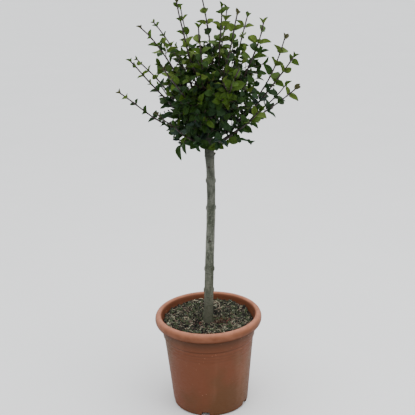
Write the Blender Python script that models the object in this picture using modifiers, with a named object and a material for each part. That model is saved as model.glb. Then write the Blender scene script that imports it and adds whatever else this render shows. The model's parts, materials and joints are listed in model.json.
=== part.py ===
"""A lilac grown as a small standard tree in a terracotta-coloured pot.

Metres, +Z up. The origin is the middle of the pot's flat underside, and -Y is the front.
Each named object is one solid: the pot, the compost, the trunk, the boughs that leave the
trunk's head, and a mass of leafy twigs that grows on from the tip of each bough.
"""

import math
import random
from collections import namedtuple

import bmesh
import bpy
from mathutils import Matrix, Vector, geometry, noise

# Clearance between solids that touch on the real plant, and how far a cutter stands proud of
# a faceted surface to leave it
GAP = 0.0003
FIT = 0.0005

# Pot
RIM_RADIUS = 0.140
POT_HEIGHT = 0.254
LIP_WIDTH = 0.0185
LIP_HEIGHT = 0.0275
WALL = 0.003
BAND_RADIUS = 0.1215
BAND_STEP_Z = 0.195
BAND_STEP = 0.0030
BODY_TOP_RADIUS = 0.1178
BODY_FOOT_RADIUS = 0.101
FOOT_ROUNDING = 0.010
FLOOR_Z = 0.0155
CHANNEL_RADII = (0.070, 0.086)
CHANNEL_DEPTH = 0.0125
POT_SEGMENTS = 36

# Drain notches through the standing ring, and the holes behind them
NOTCH_COUNT = 5
NOTCH_FIRST_AZIMUTH = 261.5
NOTCH_WIDTH = 0.028
NOTCH_TOP_SHARE = 0.68
NOTCH_LENGTH = 0.030
NOTCH_LAP = 0.004
NOTCH_RISE = 0.95
DRAIN_HOLE_RADIUS = 0.0045

# Compost
COMPOST_Z = 0.229
COMPOST_LUMP = 0.0035
LUMP_SCALES = (45.0, 110.0)
COMPOST_RINGS = 4
SEAT_Z = 0.2272
SEAT_RADIUS = 0.016

# Trunk
HEAD_Z = 0.702
TRUNK_TOP_Z = 0.736
TRUNK_LEAN = 0.0145
TRUNK_BOW = 0.006
TRUNK_FOOT_RADIUS = 0.0122
TRUNK_TAPER = 0.0017
ROOT_FLARE = 0.0026
ROOT_FLARE_HEIGHT = 0.012
GRAFT_Z = 0.682
GRAFT_SWELLING = 0.0018
GRAFT_LENGTH = 0.018
DOME_HEIGHT = 0.0108
DOME_FLAT_SHARE = 0.35
DOME_RINGS = (0.55, 0.25, 0.0)
FLARE_RINGS = (0.0, 0.4, 1.0, 2.0)
TRUNK_RINGS = 16
TRUNK_SIDES = 10
KNOT_RADIUS = 0.0034
KNOT_SUNK_SHARE = 0.45
KNOTS = ((0.318, 4), (0.377, -6), (0.456, 82), (0.543, 3), (0.614, -4), (0.650, 70))
STUB_Z = 0.680
STUB_RADIUS = 0.0036
STUB_LENGTH = 0.013
STUB_RISE = 62.0
STUB_FOOT_SHARE = 0.55
STUB_FOOT_RADIUS = 0.0041

# Boughs, by tier: the height on the trunk's middle line that a tier's shoots spring from,
# and the length of a bough beyond the bark
Tier = namedtuple("Tier", "spring_z bough_length")
LOW = Tier(0.6985, 0.018)
MID = Tier(0.7045, 0.034)
TOP = Tier(0.7120, 0.030)
BOUGH_RADIUS = 0.0029
BOUGH_TIP_RADIUS = 0.0021
BOUGH_RINGS = 4
BARK_STEP = 0.0005

# Shoots. A shoot's tip lies at an azimuth, an elevation and a reach from where its tier
# springs, in degrees and metres, and bend is how far its middle hangs outwards and down from
# the straight, as a share of the reach. The first shoot of a mass carries on from the bough,
# and the others fork from it. A mass keeps to the directions that are nearest its own.
Shoot = namedtuple("Shoot", "azimuth elevation reach bend")
Mass = namedtuple("Mass", "name tier azimuth elevation shoots")
MASSES = (
    Mass("low_right", LOW, 2, 22, (
        Shoot(0, 33, 0.256, 0.02), Shoot(14, 35, 0.246, 0.04), Shoot(344, 12, 0.104, 0.02))),
    Mass("low_back_right", LOW, 60, 22, (
        Shoot(58, 34, 0.246, 0.04), Shoot(42, 10, 0.108, 0.02), Shoot(76, 14, 0.112, 0.02))),
    Mass("low_back_left", LOW, 120, 22, (
        Shoot(126, 32, 0.250, 0.03), Shoot(106, 12, 0.110, 0.02), Shoot(140, 10, 0.108, 0.02))),
    Mass("low_left", LOW, 180, 22, (
        Shoot(180, 34, 0.258, 0.03), Shoot(164, 14, 0.110, 0.02), Shoot(196, 2, 0.094, -0.06))),
    Mass("low_front_left", LOW, 240, 22, (
        Shoot(236, 31, 0.240, 0.03), Shoot(222, 12, 0.106, 0.02), Shoot(256, 10, 0.110, 0.02))),
    Mass("low_front_right", LOW, 300, 22, (
        Shoot(304, 31, 0.242, 0.04), Shoot(284, 12, 0.112, 0.02), Shoot(318, 10, 0.106, 0.02))),
    Mass("mid_right", MID, 0, 54, (
        Shoot(352, 46, 0.301, 0.05), Shoot(12, 52, 0.319, 0.08))),
    Mass("mid_back_right", MID, 54, 61, (
        Shoot(63, 69, 0.340, 0.00), Shoot(39, 66, 0.332, 0.04), Shoot(66, 51, 0.290, 0.03))),
    Mass("mid_back_left", MID, 124, 59, (
        Shoot(116, 67, 0.349, 0.00), Shoot(145, 62, 0.334, -0.06), Shoot(114, 50, 0.292, 0.02))),
    Mass("mid_left", MID, 184, 57, (
        Shoot(192, 50, 0.286, 0.00), Shoot(158, 48, 0.280, -0.04), Shoot(205, 61, 0.342, -0.10))),
    Mass("mid_front_left", MID, 246, 60, (
        Shoot(262, 69, 0.324, 0.00), Shoot(238, 50, 0.280, 0.03))),
    Mass("mid_front_right", MID, 310, 59, (
        Shoot(301, 67, 0.357, 0.00), Shoot(329, 63, 0.341, 0.07), Shoot(294, 50, 0.280, 0.02))),
    Mass("top", TOP, 260, 88, (
        Shoot(180, 89, 0.347, -0.05), Shoot(307, 79, 0.338, 0.03), Shoot(222, 76, 0.357, 0.05))),
)

# Twigs and leaves
BALL_CENTRE = Vector((0.0205, 0.0, 0.8290))
BALL_RADIUS = 0.126
BALL_MARGIN = 0.0025
SHOOT_TIP_RADIUS = 0.0011
SHOOT_POINTS = 6
FORK_AT = 0.012
FORK_SPACING = 0.012
FIRST_NODE = 0.006
INTERNODE = 0.029
OUTER_INTERNODE = 0.050
TIP_NODE = 0.002
SIDE_TWIG_LENGTH = 0.044
SIDE_TWIG_RADIUS = 0.0013
SIDE_TWIG_TIP_RADIUS = 0.00091
SIDE_TWIG_FIRST_NODE = 0.0174
SIDE_TWIG_ANGLE = 50.0
SIDE_TWIG_TRIES = 7
SIDE_TWIG_SPACING = 0.038
LEAF_LENGTH = 0.053
OUTER_LEAF_LENGTH = 0.030
TIP_LEAF_LENGTH = 0.018
OUTER_REACH = 0.100
LEAF_WIDTH_SHARE = 0.66
LEAF_THICKNESS_SHARE = 0.035
LEAF_FOLD = 0.09
WIDEST = 0.42
RIB_MIDDLE = 0.55
EDGE_POINTS = ((0.15, 0.36), (WIDEST, 1.0), (0.7, 0.52), (1.0, 0.0))
LEAF_ANGLE = 54.0
LEAF_SPACING = 0.50
LEAF_TRIES = 6
ANGLE_SPREAD = 12.0
TWIG_TURN_SPREAD = 0.35
LEAF_TURN_SPREAD = 0.2
SHORTENED = 0.06
LIGHT_PULL = Vector((0.0, 0.0, 0.35))
CELL_MARGIN = 0.0006
LIMB_CLEARANCE = 0.0010
TRUNK_CLEARANCE = 0.0135

Twig = namedtuple("Twig", "points radii")
Node = namedtuple("Node", "place heading turn twig")
Leaf = namedtuple("Leaf", "base along normal length width")


# Scene, materials and conversions


def clear_scene():
    for obj in list(bpy.data.objects):
        bpy.data.objects.remove(obj)


def new_collection(name, parent=None):
    made = bpy.data.collections.new(name)
    (parent or bpy.context.scene.collection).children.link(made)
    return made


def new_material(name, colour, roughness):
    made = bpy.data.materials.new(name)
    made.use_nodes = True
    shader = made.node_tree.nodes["Principled BSDF"]
    shader.inputs["Base Color"].default_value = (*colour, 1.0)
    shader.inputs["Roughness"].default_value = roughness
    shader.inputs["Metallic"].default_value = 0.0
    return made


def new_object(name, data, collection):
    made = bpy.data.objects.new(name, data)
    collection.objects.link(made)
    return made


def applied(obj, name, collection):
    """A mesh object with obj's modifiers, curves and caps applied, in obj's place."""
    bpy.context.view_layer.update()
    graph = bpy.context.evaluated_depsgraph_get()
    mesh = bpy.data.meshes.new_from_object(obj.evaluated_get(graph))
    shape = bmesh.new()
    shape.from_mesh(mesh)
    bmesh.ops.remove_doubles(shape, verts=shape.verts, dist=1e-6)
    shape.to_mesh(mesh)
    shape.free()
    matrix = obj.matrix_world.copy()
    bpy.data.objects.remove(obj)
    made = new_object(name, mesh, collection)
    made.matrix_world = matrix
    return made


def drop_small_bodies(mesh):
    """Leaves only the mesh's largest closed surface: drops loose scraps and fills sealed hollows."""
    shape = bmesh.new()
    shape.from_mesh(mesh)
    left = set(shape.faces)
    surfaces = []
    while left:
        front = [left.pop()]
        surface = list(front)
        while front:
            near = {f for edge in front.pop().edges for f in edge.link_faces} & left
            left -= near
            front += near
            surface += near
        surfaces.append(surface)
    surfaces.sort(key=len)
    loose = [face for surface in surfaces[:-1] for face in surface]
    bmesh.ops.delete(shape, geom=loose, context="FACES")
    shape.to_mesh(mesh)
    shape.free()


def union_of(obj, others, name, collection):
    """obj and every object of the collection others joined into one solid."""
    join = obj.modifiers.new("Join", "BOOLEAN")
    join.operation = "UNION"
    join.operand_type = "COLLECTION"
    join.collection = others
    join.solver = "MANIFOLD"
    made = applied(obj, name, collection)
    drop_small_bodies(made.data)
    for other in list(others.objects):
        bpy.data.objects.remove(other)
    bpy.data.collections.remove(others)
    return made


def shade(obj, material, angle=40.0):
    obj.data.materials.clear()
    obj.data.materials.append(material)
    obj.data.shade_smooth()
    obj.data.set_sharp_from_angle(angle=math.radians(angle))


def as_guide(obj):
    obj.hide_render = True
    obj.display_type = "WIRE"
    return obj


# Directions and paths


def direction(azimuth, elevation):
    """Unit vector at an azimuth from +X and an elevation above the ground, in degrees."""
    a = math.radians(azimuth)
    e = math.radians(elevation)
    return Vector((math.cos(a) * math.cos(e), math.sin(a) * math.cos(e), math.sin(e)))


def side_of(along, turn):
    """Unit vector square to along, turned round it by an angle in radians."""
    level = along.cross(Vector((0, 0, 1)))
    if level.length < 1e-3:
        level = Vector((1, 0, 0))
    return Matrix.Rotation(turn, 3, along) @ level.normalized()


def bent_path(start, end, sag, count):
    """Points from start to end along a parabola whose middle is moved by the vector sag."""
    steps = [i / (count - 1) for i in range(count)]
    return [start.lerp(end, t) + sag * (4 * t * (1 - t)) for t in steps]


def path_length(points):
    return sum((b - a).length for a, b in zip(points, points[1:]))


def along_path(points, distance):
    """The place at a distance along a path, and the path's direction there."""
    left = distance
    for start, end in zip(points, points[1:]):
        step = (end - start).length
        if left <= step or end is points[-1]:
            heading = (end - start).normalized()
            return start + heading * min(left, step), heading
        left -= step


def distance_to(point, start, end):
    """Distance from a point to a straight stretch."""
    chord = end - start
    share = max(0.0, min(1.0, (point - start).dot(chord) / chord.length_squared))
    return (point - start - chord * share).length


def evenly(first, last, count):
    """Numbers from first to last in equal steps."""
    return [first + (last - first) * i / (count - 1) for i in range(count)]


# Turned shapes and tubes


def turned(name, profile, segments, collection):
    """Solid turned round Z from a profile of (radius, height) that starts and ends on the axis."""
    mesh = bpy.data.meshes.new(name)
    edges = [(i, i + 1) for i in range(len(profile) - 1)]
    mesh.from_pydata([(r, 0.0, z) for r, z in profile], edges, [])
    obj = new_object(name, mesh, collection)
    screw = obj.modifiers.new("Turn", "SCREW")
    screw.steps = segments
    screw.render_steps = segments
    screw.use_merge_vertices = True
    screw.merge_threshold = 0.00005
    return applied(obj, name, collection)


def tube(name, points, radii, collection, sides=8, section=None):
    """Tapering tube along the points: round with that many sides, or of the given section."""
    curve = bpy.data.curves.new(name, "CURVE")
    curve.dimensions = "3D"
    curve.twist_mode = "MINIMUM"
    curve.use_fill_caps = True
    if section:
        curve.bevel_mode = "OBJECT"
        curve.bevel_object = section
    else:
        curve.bevel_depth = 1.0
        curve.bevel_resolution = (sides - 4) // 2
    line = curve.splines.new("POLY")
    line.points.add(len(points) - 1)
    for point, place, radius in zip(line.points, points, radii):
        point.co = (*place, 1.0)
        point.radius = radius
    obj = new_object(name + "_line", curve, collection)
    return applied(obj, name, collection)


# Pot


def arc(centre, radii, start, end, count):
    """Points of an elliptic arc in (radius, height), angles in degrees."""
    turns = [math.radians(angle) for angle in evenly(start, end, count)]
    return [(centre[0] + radii[0] * math.cos(a), centre[1] + radii[1] * math.sin(a)) for a in turns]


def wall_radius(z):
    """Radius of the pot's inner wall at a height."""
    share = (z - FOOT_ROUNDING) / (BAND_STEP_Z - FOOT_ROUNDING)
    outer = BODY_FOOT_RADIUS + (BODY_TOP_RADIUS - BODY_FOOT_RADIUS) * share
    return outer - WALL


def pot_profile():
    """Half section of the pot: floor, inner wall, rolled lip, band, body, standing ring, channel."""
    lip_centre = (RIM_RADIUS - LIP_WIDTH / 2, POT_HEIGHT - LIP_HEIGHT / 2)
    lip_radii = (LIP_WIDTH / 2, LIP_HEIGHT / 2)
    foot_centre = (BODY_FOOT_RADIUS - FOOT_ROUNDING, FOOT_ROUNDING)
    inner_channel, outer_channel = CHANNEL_RADII
    draft = 0.001
    inside = [(0.0, FLOOR_Z), (wall_radius(FLOOR_Z), FLOOR_Z), (wall_radius(COMPOST_Z), COMPOST_Z)]
    lip = arc(lip_centre, lip_radii, 170, -80, 9)
    band = [(BAND_RADIUS, POT_HEIGHT - LIP_HEIGHT), (BODY_TOP_RADIUS + BAND_STEP, BAND_STEP_Z)]
    body = [(BODY_TOP_RADIUS, BAND_STEP_Z - draft)]
    foot = arc(foot_centre, (FOOT_ROUNDING, FOOT_ROUNDING), 0, -90, 4)
    channel = [(outer_channel, 0.0), (outer_channel - draft, CHANNEL_DEPTH),
               (inner_channel + draft, CHANNEL_DEPTH), (inner_channel, 0.0), (0.0, 0.0)]
    return inside + lip + band + body + foot + channel


def notch_cutter(azimuth, cutters):
    """Wedge that opens the standing ring from the drain channel to the outside."""
    shape = bmesh.new()
    bmesh.ops.create_cube(shape, size=1.0)
    for vert in shape.verts:
        top = vert.co.z > 0
        vert.co.x *= NOTCH_LENGTH
        vert.co.y *= NOTCH_WIDTH * (NOTCH_TOP_SHARE if top else 1.0)
        vert.co.z = CHANNEL_DEPTH * (NOTCH_RISE if top else -1.0)
    mesh = bpy.data.meshes.new("notch")
    shape.to_mesh(mesh)
    shape.free()
    obj = as_guide(new_object("notch", mesh, cutters))
    middle = Vector((CHANNEL_RADII[1] - NOTCH_LAP + NOTCH_LENGTH / 2, 0, 0))
    obj.matrix_world = Matrix.Rotation(math.radians(azimuth), 4, "Z") @ Matrix.Translation(middle)


def drain_cutter(azimuth, cutters):
    """Upright cylinder through the channel's roof."""
    shape = bmesh.new()
    radius = DRAIN_HOLE_RADIUS
    bmesh.ops.create_cone(shape, cap_ends=True, segments=10, radius1=radius, radius2=radius, depth=FLOOR_Z)
    mesh = bpy.data.meshes.new("drain")
    shape.to_mesh(mesh)
    shape.free()
    obj = as_guide(new_object("drain", mesh, cutters))
    middle = Vector((sum(CHANNEL_RADII) / 2, 0, FLOOR_Z))
    obj.matrix_world = Matrix.Rotation(math.radians(azimuth), 4, "Z") @ Matrix.Translation(middle)


def build_pot(collection, cutters, material):
    """Turned pot with its foot notched and drained."""
    pot = turned("pot", pot_profile(), POT_SEGMENTS, collection)
    for i in range(NOTCH_COUNT):
        azimuth = NOTCH_FIRST_AZIMUTH + 360.0 / NOTCH_COUNT * i
        notch_cutter(azimuth, cutters)
        drain_cutter(azimuth, cutters)
    cut = pot.modifiers.new("Drainage", "BOOLEAN")
    cut.operation = "DIFFERENCE"
    cut.operand_type = "COLLECTION"
    cut.collection = cutters
    shade(pot, material)


# Compost


def build_compost(collection, material):
    """Fill of the pot, with a lumpy top and a level seat for the trunk."""
    foot = FLOOR_Z + GAP
    side = 2 * GAP
    rim = wall_radius(COMPOST_Z) - side
    profile = [(0.0, SEAT_Z)] + [(r, COMPOST_Z) for r in evenly(SEAT_RADIUS, rim, COMPOST_RINGS + 1)]
    profile += [(wall_radius(foot) - side, foot), (0.0, foot)]
    compost = turned("compost", profile, POT_SEGMENTS, collection)
    for vert in compost.data.vertices:
        reach = math.hypot(vert.co.x, vert.co.y)
        if vert.co.z < SEAT_Z or reach < SEAT_RADIUS / 2:
            continue
        if reach < SEAT_RADIUS * 1.05:
            vert.co.z = SEAT_Z
            continue
        coarse, fine = (noise.noise(vert.co * scale) for scale in LUMP_SCALES)
        vert.co.z += COMPOST_LUMP * (coarse + fine / 2)
    shade(compost, material)


# Trunk


def trunk_point(z):
    """Middle of the trunk at a height: it leans right and bows a little."""
    share = min(max((z - SEAT_Z) / (HEAD_Z - SEAT_Z), 0.0), 1.0)
    return Vector((TRUNK_LEAN * share + TRUNK_BOW * math.sin(math.pi * share * share), 0.0, z))


def trunk_radius(z):
    """Radius of the trunk: root flare, slow taper, swelling at the graft, rounded head."""
    share = (z - SEAT_Z) / (HEAD_Z - SEAT_Z)
    radius = TRUNK_FOOT_RADIUS - TRUNK_TAPER * min(share, 1.0)
    radius += ROOT_FLARE * math.exp(-(z - SEAT_Z) / ROOT_FLARE_HEIGHT)
    radius += GRAFT_SWELLING * math.exp(-(((z - GRAFT_Z) / GRAFT_LENGTH) ** 2))
    dome = max(0.0, (z - (TRUNK_TOP_Z - DOME_HEIGHT)) / DOME_HEIGHT)
    return radius * max(DOME_FLAT_SHARE, math.sqrt(max(0.0, 1.0 - dome * dome)))


def trunk_heights():
    """Heights of the trunk's rings, closer together at the flare and at the head."""
    foot = SEAT_Z + GAP
    flare = [foot + ROOT_FLARE_HEIGHT * s for s in FLARE_RINGS]
    shaft = evenly(flare[-1], TRUNK_TOP_Z - DOME_HEIGHT, TRUNK_RINGS)[1:]
    dome = [TRUNK_TOP_Z - DOME_HEIGHT * s for s in DOME_RINGS]
    return flare + shaft + dome


def knot(place, outwards, collection):
    """Old bud scar: a low dome that stands a little out of the bark."""
    shape = bmesh.new()
    bmesh.ops.create_uvsphere(shape, u_segments=6, v_segments=4, radius=KNOT_RADIUS)
    mesh = bpy.data.meshes.new("knot")
    shape.to_mesh(mesh)
    shape.free()
    turn = outwards.to_track_quat("X", "Z").to_matrix().to_4x4()
    new_object("knot", mesh, collection).matrix_world = Matrix.Translation(place) @ turn


def trunk_tube(name, proud, collection):
    """The trunk's plain shaft, standing proud of its bark by a clearance."""
    heights = trunk_heights()
    points = [trunk_point(z) for z in heights]
    points[1].xy = points[0].xy
    points[-1].z += proud
    return tube(name, points, [trunk_radius(z) + proud for z in heights], collection, sides=TRUNK_SIDES)


def build_trunk(collection, material):
    """Trunk from its flat cut on the compost to the head, with bud scars and a pruned stub."""
    shaft = trunk_tube("shaft", 0.0, collection)
    relief = new_collection("trunk_relief", collection)
    sunk = KNOT_RADIUS * KNOT_SUNK_SHARE
    for z, azimuth in KNOTS:
        for outwards in (direction(azimuth, 0), direction(azimuth + 180, 0)):
            knot(trunk_point(z) + outwards * (trunk_radius(z) - sunk), outwards, relief)
    foot = trunk_point(STUB_Z) + Vector((trunk_radius(STUB_Z) * STUB_FOOT_SHARE, 0, -STUB_LENGTH / 2))
    line = [foot, foot + direction(0, STUB_RISE) * STUB_LENGTH]
    tube("stub", line, [STUB_FOOT_RADIUS, STUB_RADIUS], relief, sides=6)
    shade(union_of(shaft, relief, "trunk", collection), material)


# Shoots and boughs


def spring(mass):
    """Where the shoots of a mass spring from, on the trunk's middle line."""
    return trunk_point(mass.tier.spring_z)


def shoot_tip(mass, shoot):
    return spring(mass) + direction(shoot.azimuth, shoot.elevation) * shoot.reach


def shoot_path(mass, shoot, start, count):
    """Path of a shoot from a start on it or on its mass's first shoot to its tip."""
    tip = shoot_tip(mass, shoot)
    outwards = direction(shoot.azimuth, shoot.elevation - 90.0)
    return bent_path(start, tip, outwards * shoot.bend * (tip - start).length, count)


def first_path(mass):
    return shoot_path(mass, mass.shoots[0], spring(mass), 25)


def bark_exit(path):
    """How far along a path from the trunk's middle line the bark lies."""
    distance = 0.0
    inside = True
    while inside:
        distance += BARK_STEP
        place, _ = along_path(path, distance)
        inside = place.z < TRUNK_TOP_Z and (place - trunk_point(place.z)).length < trunk_radius(place.z)
    return distance


def bough_points(mass):
    """Middle line of a bough, from inside the trunk to where its mass begins."""
    path = first_path(mass)
    length = bark_exit(path) + mass.tier.bough_length
    return [along_path(path, s)[0] for s in evenly(0.0, length, BOUGH_RINGS + 1)]


def build_bough(mass, cutter, collection, material):
    """One tapering limb from the bark of the head to the foot of its mass."""
    name = "bough_" + mass.name
    radii = evenly(BOUGH_RADIUS, BOUGH_TIP_RADIUS, BOUGH_RINGS + 1)
    bough = tube(name, bough_points(mass), radii, collection, sides=6)
    cut = bough.modifiers.new("Fit to trunk", "BOOLEAN")
    cut.operation = "DIFFERENCE"
    cut.object = cutter
    shade(applied(bough, name, collection), material)


# Growth rule


class Space:
    """The room that one mass may fill: its cone of directions from the head, clear of limbs."""

    def __init__(self, mass):
        mine = direction(mass.azimuth, mass.elevation)
        others = [direction(m.azimuth, m.elevation) for m in MASSES if m is not mass]
        self.apex = trunk_point(HEAD_Z)
        self.normals = [(mine - other).normalized() for other in others]
        self.limbs = []
        for other in MASSES:
            path = bough_points(other)
            self.limbs += list(zip(path, path[1:]))
        self.trunk = (trunk_point(SEAT_Z), trunk_point(TRUNK_TOP_Z))

    def holds(self, points, thickness=0.0):
        """True if every point keeps to the cone and clear of the trunk and the boughs."""
        return all(self.in_cone(p, thickness) and self.off_limbs(p, thickness) for p in points)

    def in_cone(self, point, thickness):
        out = point - self.apex
        return all(out.dot(normal) >= CELL_MARGIN + thickness for normal in self.normals)

    def off_limbs(self, point, thickness):
        if distance_to(point, *self.trunk) < TRUNK_CLEARANCE + thickness:
            return False
        room = BOUGH_RADIUS + thickness + LIMB_CLEARANCE
        return all(distance_to(point, a, b) >= room for a, b in self.limbs)


def beyond_ball(point):
    """How far a point lies outside the leafy ball."""
    return (point - BALL_CENTRE).length - BALL_RADIUS


class Growth:
    """Twigs and leaves of one mass, grown by a seeded rule from the tip of its bough."""

    def __init__(self, index):
        self.mass = MASSES[index]
        self.space = Space(self.mass)
        self.rng = random.Random(1000 + index)
        self.twigs = []
        self.nodes = []
        self.leaves = []
        self.grow_shoots()
        self.grow_side_twigs()
        for node in self.nodes:
            self.add_pair(node)

    def grow_shoots(self):
        """The shoot that carries on from the bough, and its forks."""
        path = first_path(self.mass)
        start = bark_exit(path) + self.mass.tier.bough_length + GAP
        distances = evenly(start, path_length(path), SHOOT_POINTS)
        first = [along_path(path, s)[0] for s in distances]
        self.twigs.append(Twig(first, evenly(BOUGH_TIP_RADIUS, SHOOT_TIP_RADIUS, SHOOT_POINTS)))
        for number, shoot in enumerate(self.mass.shoots[1:]):
            fork, _ = along_path(first, FORK_AT + FORK_SPACING * number)
            points = shoot_path(self.mass, shoot, fork, SHOOT_POINTS)
            if self.space.holds(points[1:], SIDE_TWIG_RADIUS):
                self.twigs.append(Twig(points, evenly(SIDE_TWIG_RADIUS, SHOOT_TIP_RADIUS, SHOOT_POINTS)))

    def grow_side_twigs(self):
        """Nodes along each shoot, and at those inside the ball a side twig to either side."""
        for shoot in list(self.twigs):
            nodes = self.nodes_along(shoot, FIRST_NODE)
            self.nodes += nodes
            for node in nodes:
                if beyond_ball(node.place) < 0.0:
                    self.add_side_twig(node, node.turn + math.pi / 2)
                    self.add_side_twig(node, node.turn - math.pi / 2)

    def nodes_along(self, twig, first):
        """Nodes of a twig from its foot to its tip, each turned square to the last."""
        length = path_length(twig.points)
        turn = self.rng.uniform(0, math.pi)
        found = []
        at = first
        while at < length - TIP_LEAF_LENGTH * 0.6:
            place, heading = along_path(twig.points, at)
            found.append(Node(place, heading, turn, twig))
            turn += math.pi / 2
            step = INTERNODE if beyond_ball(place) < 0.0 else OUTER_INTERNODE
            at += step * self.rng.uniform(0.9, 1.1)
        place, heading = along_path(twig.points, length - TIP_NODE)
        found.append(Node(place, heading, turn, twig))
        return found

    def add_side_twig(self, node, turn):
        """A short twig, turned and shortened until there is room for it."""
        for tries in range(SIDE_TWIG_TRIES):
            angle = math.radians(SIDE_TWIG_ANGLE + self.rng.uniform(-ANGLE_SPREAD, ANGLE_SPREAD))
            side = side_of(node.heading, turn + self.rng.uniform(-TWIG_TURN_SPREAD, TWIG_TURN_SPREAD) * tries)
            along = node.heading * math.cos(angle) + side * math.sin(angle)
            length = SIDE_TWIG_LENGTH * self.rng.uniform(0.9, 1.2) * (1.0 - SHORTENED * tries)
            end = node.place + along * length
            apart = all((end - t.points[-1]).length > SIDE_TWIG_SPACING for t in self.twigs)
            inside = self.space.holds([node.place.lerp(end, 0.5), end], SIDE_TWIG_RADIUS)
            if apart and inside and beyond_ball(end) < BALL_MARGIN:
                twig = Twig([node.place, end], [SIDE_TWIG_RADIUS, SIDE_TWIG_TIP_RADIUS])
                self.twigs.append(twig)
                self.nodes += self.nodes_along(twig, SIDE_TWIG_FIRST_NODE)
                return

    def add_pair(self, node):
        """Two opposite leaves that stand up and out from the twig, each where there is room."""
        for side in (0.0, math.pi):
            for tries in range(LEAF_TRIES):
                spread = LEAF_TURN_SPREAD * (1 + tries)
                turn = node.turn + side + self.rng.uniform(-spread, spread)
                leaf = self.leaf_at(node, turn, leaf_length(node.place) * (1.0 - SHORTENED * tries))
                if self.space.holds(leaf_corners(leaf)) and not self.crowded(leaf, node.twig):
                    self.leaves.append(leaf)
                    break

    def leaf_at(self, node, turn, length):
        """A leaf that leaves its twig at a turn round it, face up towards the light."""
        outwards = side_of(node.heading, turn)
        angle = math.radians(LEAF_ANGLE + self.rng.uniform(-ANGLE_SPREAD, ANGLE_SPREAD))
        along = (node.heading * math.cos(angle) + outwards * math.sin(angle)).normalized()
        normal = node.heading * math.sin(angle) - outwards * math.cos(angle) + LIGHT_PULL
        normal = (normal - along * normal.dot(along)).normalized()
        size = length * self.rng.uniform(0.9, 1.1)
        return Leaf(node.place, along, normal, size, size * LEAF_WIDTH_SHARE)

    def crowded(self, leaf, twig):
        """True if the leaf comes too near another or cuts through a twig that isn't its own."""
        for other in self.leaves:
            room = LEAF_SPACING * (leaf.length + other.length) / 2
            if (rib_middle(leaf) - rib_middle(other)).length < room:
                return True
        others = [t.points for t in self.twigs if t is not twig]
        return any(cuts(leaf, a, b) for points in others for a, b in zip(points, points[1:]))


def leaf_length(place):
    """Leaf length at a place: full in the ball, and less the further beyond it."""
    if beyond_ball(place) <= 0.0:
        return LEAF_LENGTH
    share = min(1.0, beyond_ball(place) / OUTER_REACH)
    return OUTER_LEAF_LENGTH + (TIP_LEAF_LENGTH - OUTER_LEAF_LENGTH) * share


def rib_middle(leaf):
    return leaf.base + leaf.along * leaf.length * RIB_MIDDLE


def cuts(leaf, start, end):
    """True if a straight stretch passes through the leaf."""
    across = leaf.normal.cross(leaf.along) * leaf.width / 2
    middle = leaf.base + leaf.along * leaf.length * WIDEST
    tip = leaf.base + leaf.along * leaf.length
    ray = end - start
    for corner in (middle + across, middle - across):
        hit = geometry.intersect_ray_tri(leaf.base, corner, tip, ray, start)
        if hit and 0.0 <= (hit - start).dot(ray) <= ray.length_squared:
            return True
    return False


def leaf_corners(leaf):
    """Places round a leaf's edge and along its rib."""
    across = leaf.normal.cross(leaf.along)
    found = []
    for share, spread in EDGE_POINTS:
        middle = leaf.base + leaf.along * leaf.length * share
        found += [middle + across * leaf.width * spread * side for side in (-0.5, 0.0, 0.5)]
    return found


# Masses of foliage


def twig_section(cutters):
    """Three-sided section that the twigs are swept with."""
    curve = bpy.data.curves.new("twig_section", "CURVE")
    curve.dimensions = "2D"
    line = curve.splines.new("POLY")
    line.points.add(2)
    for i, point in enumerate(line.points):
        angle = -2 * math.pi * i / 3
        point.co = (math.cos(angle), math.sin(angle), 0.0, 1.0)
    line.use_cyclic_u = True
    return as_guide(new_object("twig_section", curve, cutters))


def leaf_mesh():
    """Leaf of eight faces, one unit long and wide, its sides folded up from its rib."""
    shape = bmesh.new()
    bmesh.ops.create_uvsphere(shape, u_segments=4, v_segments=2, radius=0.5)
    for vert in shape.verts:
        if abs(vert.co.z) > 0.1:
            upper = vert.co.z > 0
            vert.co = (WIDEST, 0.0, -LEAF_FOLD + (0.5 if upper else -0.5) * LEAF_THICKNESS_SHARE)
        elif abs(vert.co.y) > 0.1:
            vert.co.x = WIDEST
        else:
            vert.co.x += 0.5
            vert.co.z = -LEAF_FOLD / 2 if vert.co.x > 0.5 else 0.0
    bmesh.ops.recalc_face_normals(shape, faces=shape.faces)
    mesh = bpy.data.meshes.new("leaf")
    shape.to_mesh(mesh)
    shape.free()
    return mesh


def leaf_matrix(leaf):
    across = leaf.normal.cross(leaf.along)
    turn = Matrix((leaf.along, across, leaf.normal)).transposed().to_4x4()
    scale = Matrix.Diagonal((leaf.length, leaf.width, leaf.length, 1.0))
    return Matrix.Translation(leaf.base) @ turn @ scale


def build_mass(index, section, blade, collection, material):
    """Twigs and leaves of one mass, joined into one solid."""
    growth = Growth(index)
    name = "foliage_" + growth.mass.name
    stem = tube(name + "_stem", *growth.twigs[0], collection, section=section)
    joined = new_collection(name + "_joined", collection)
    for twig in growth.twigs[1:]:
        tube("twig", *twig, joined, section=section)
    for leaf in growth.leaves:
        new_object("leaf", blade, joined).matrix_world = leaf_matrix(leaf)
    shade(union_of(stem, joined, name, collection), material)


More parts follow.
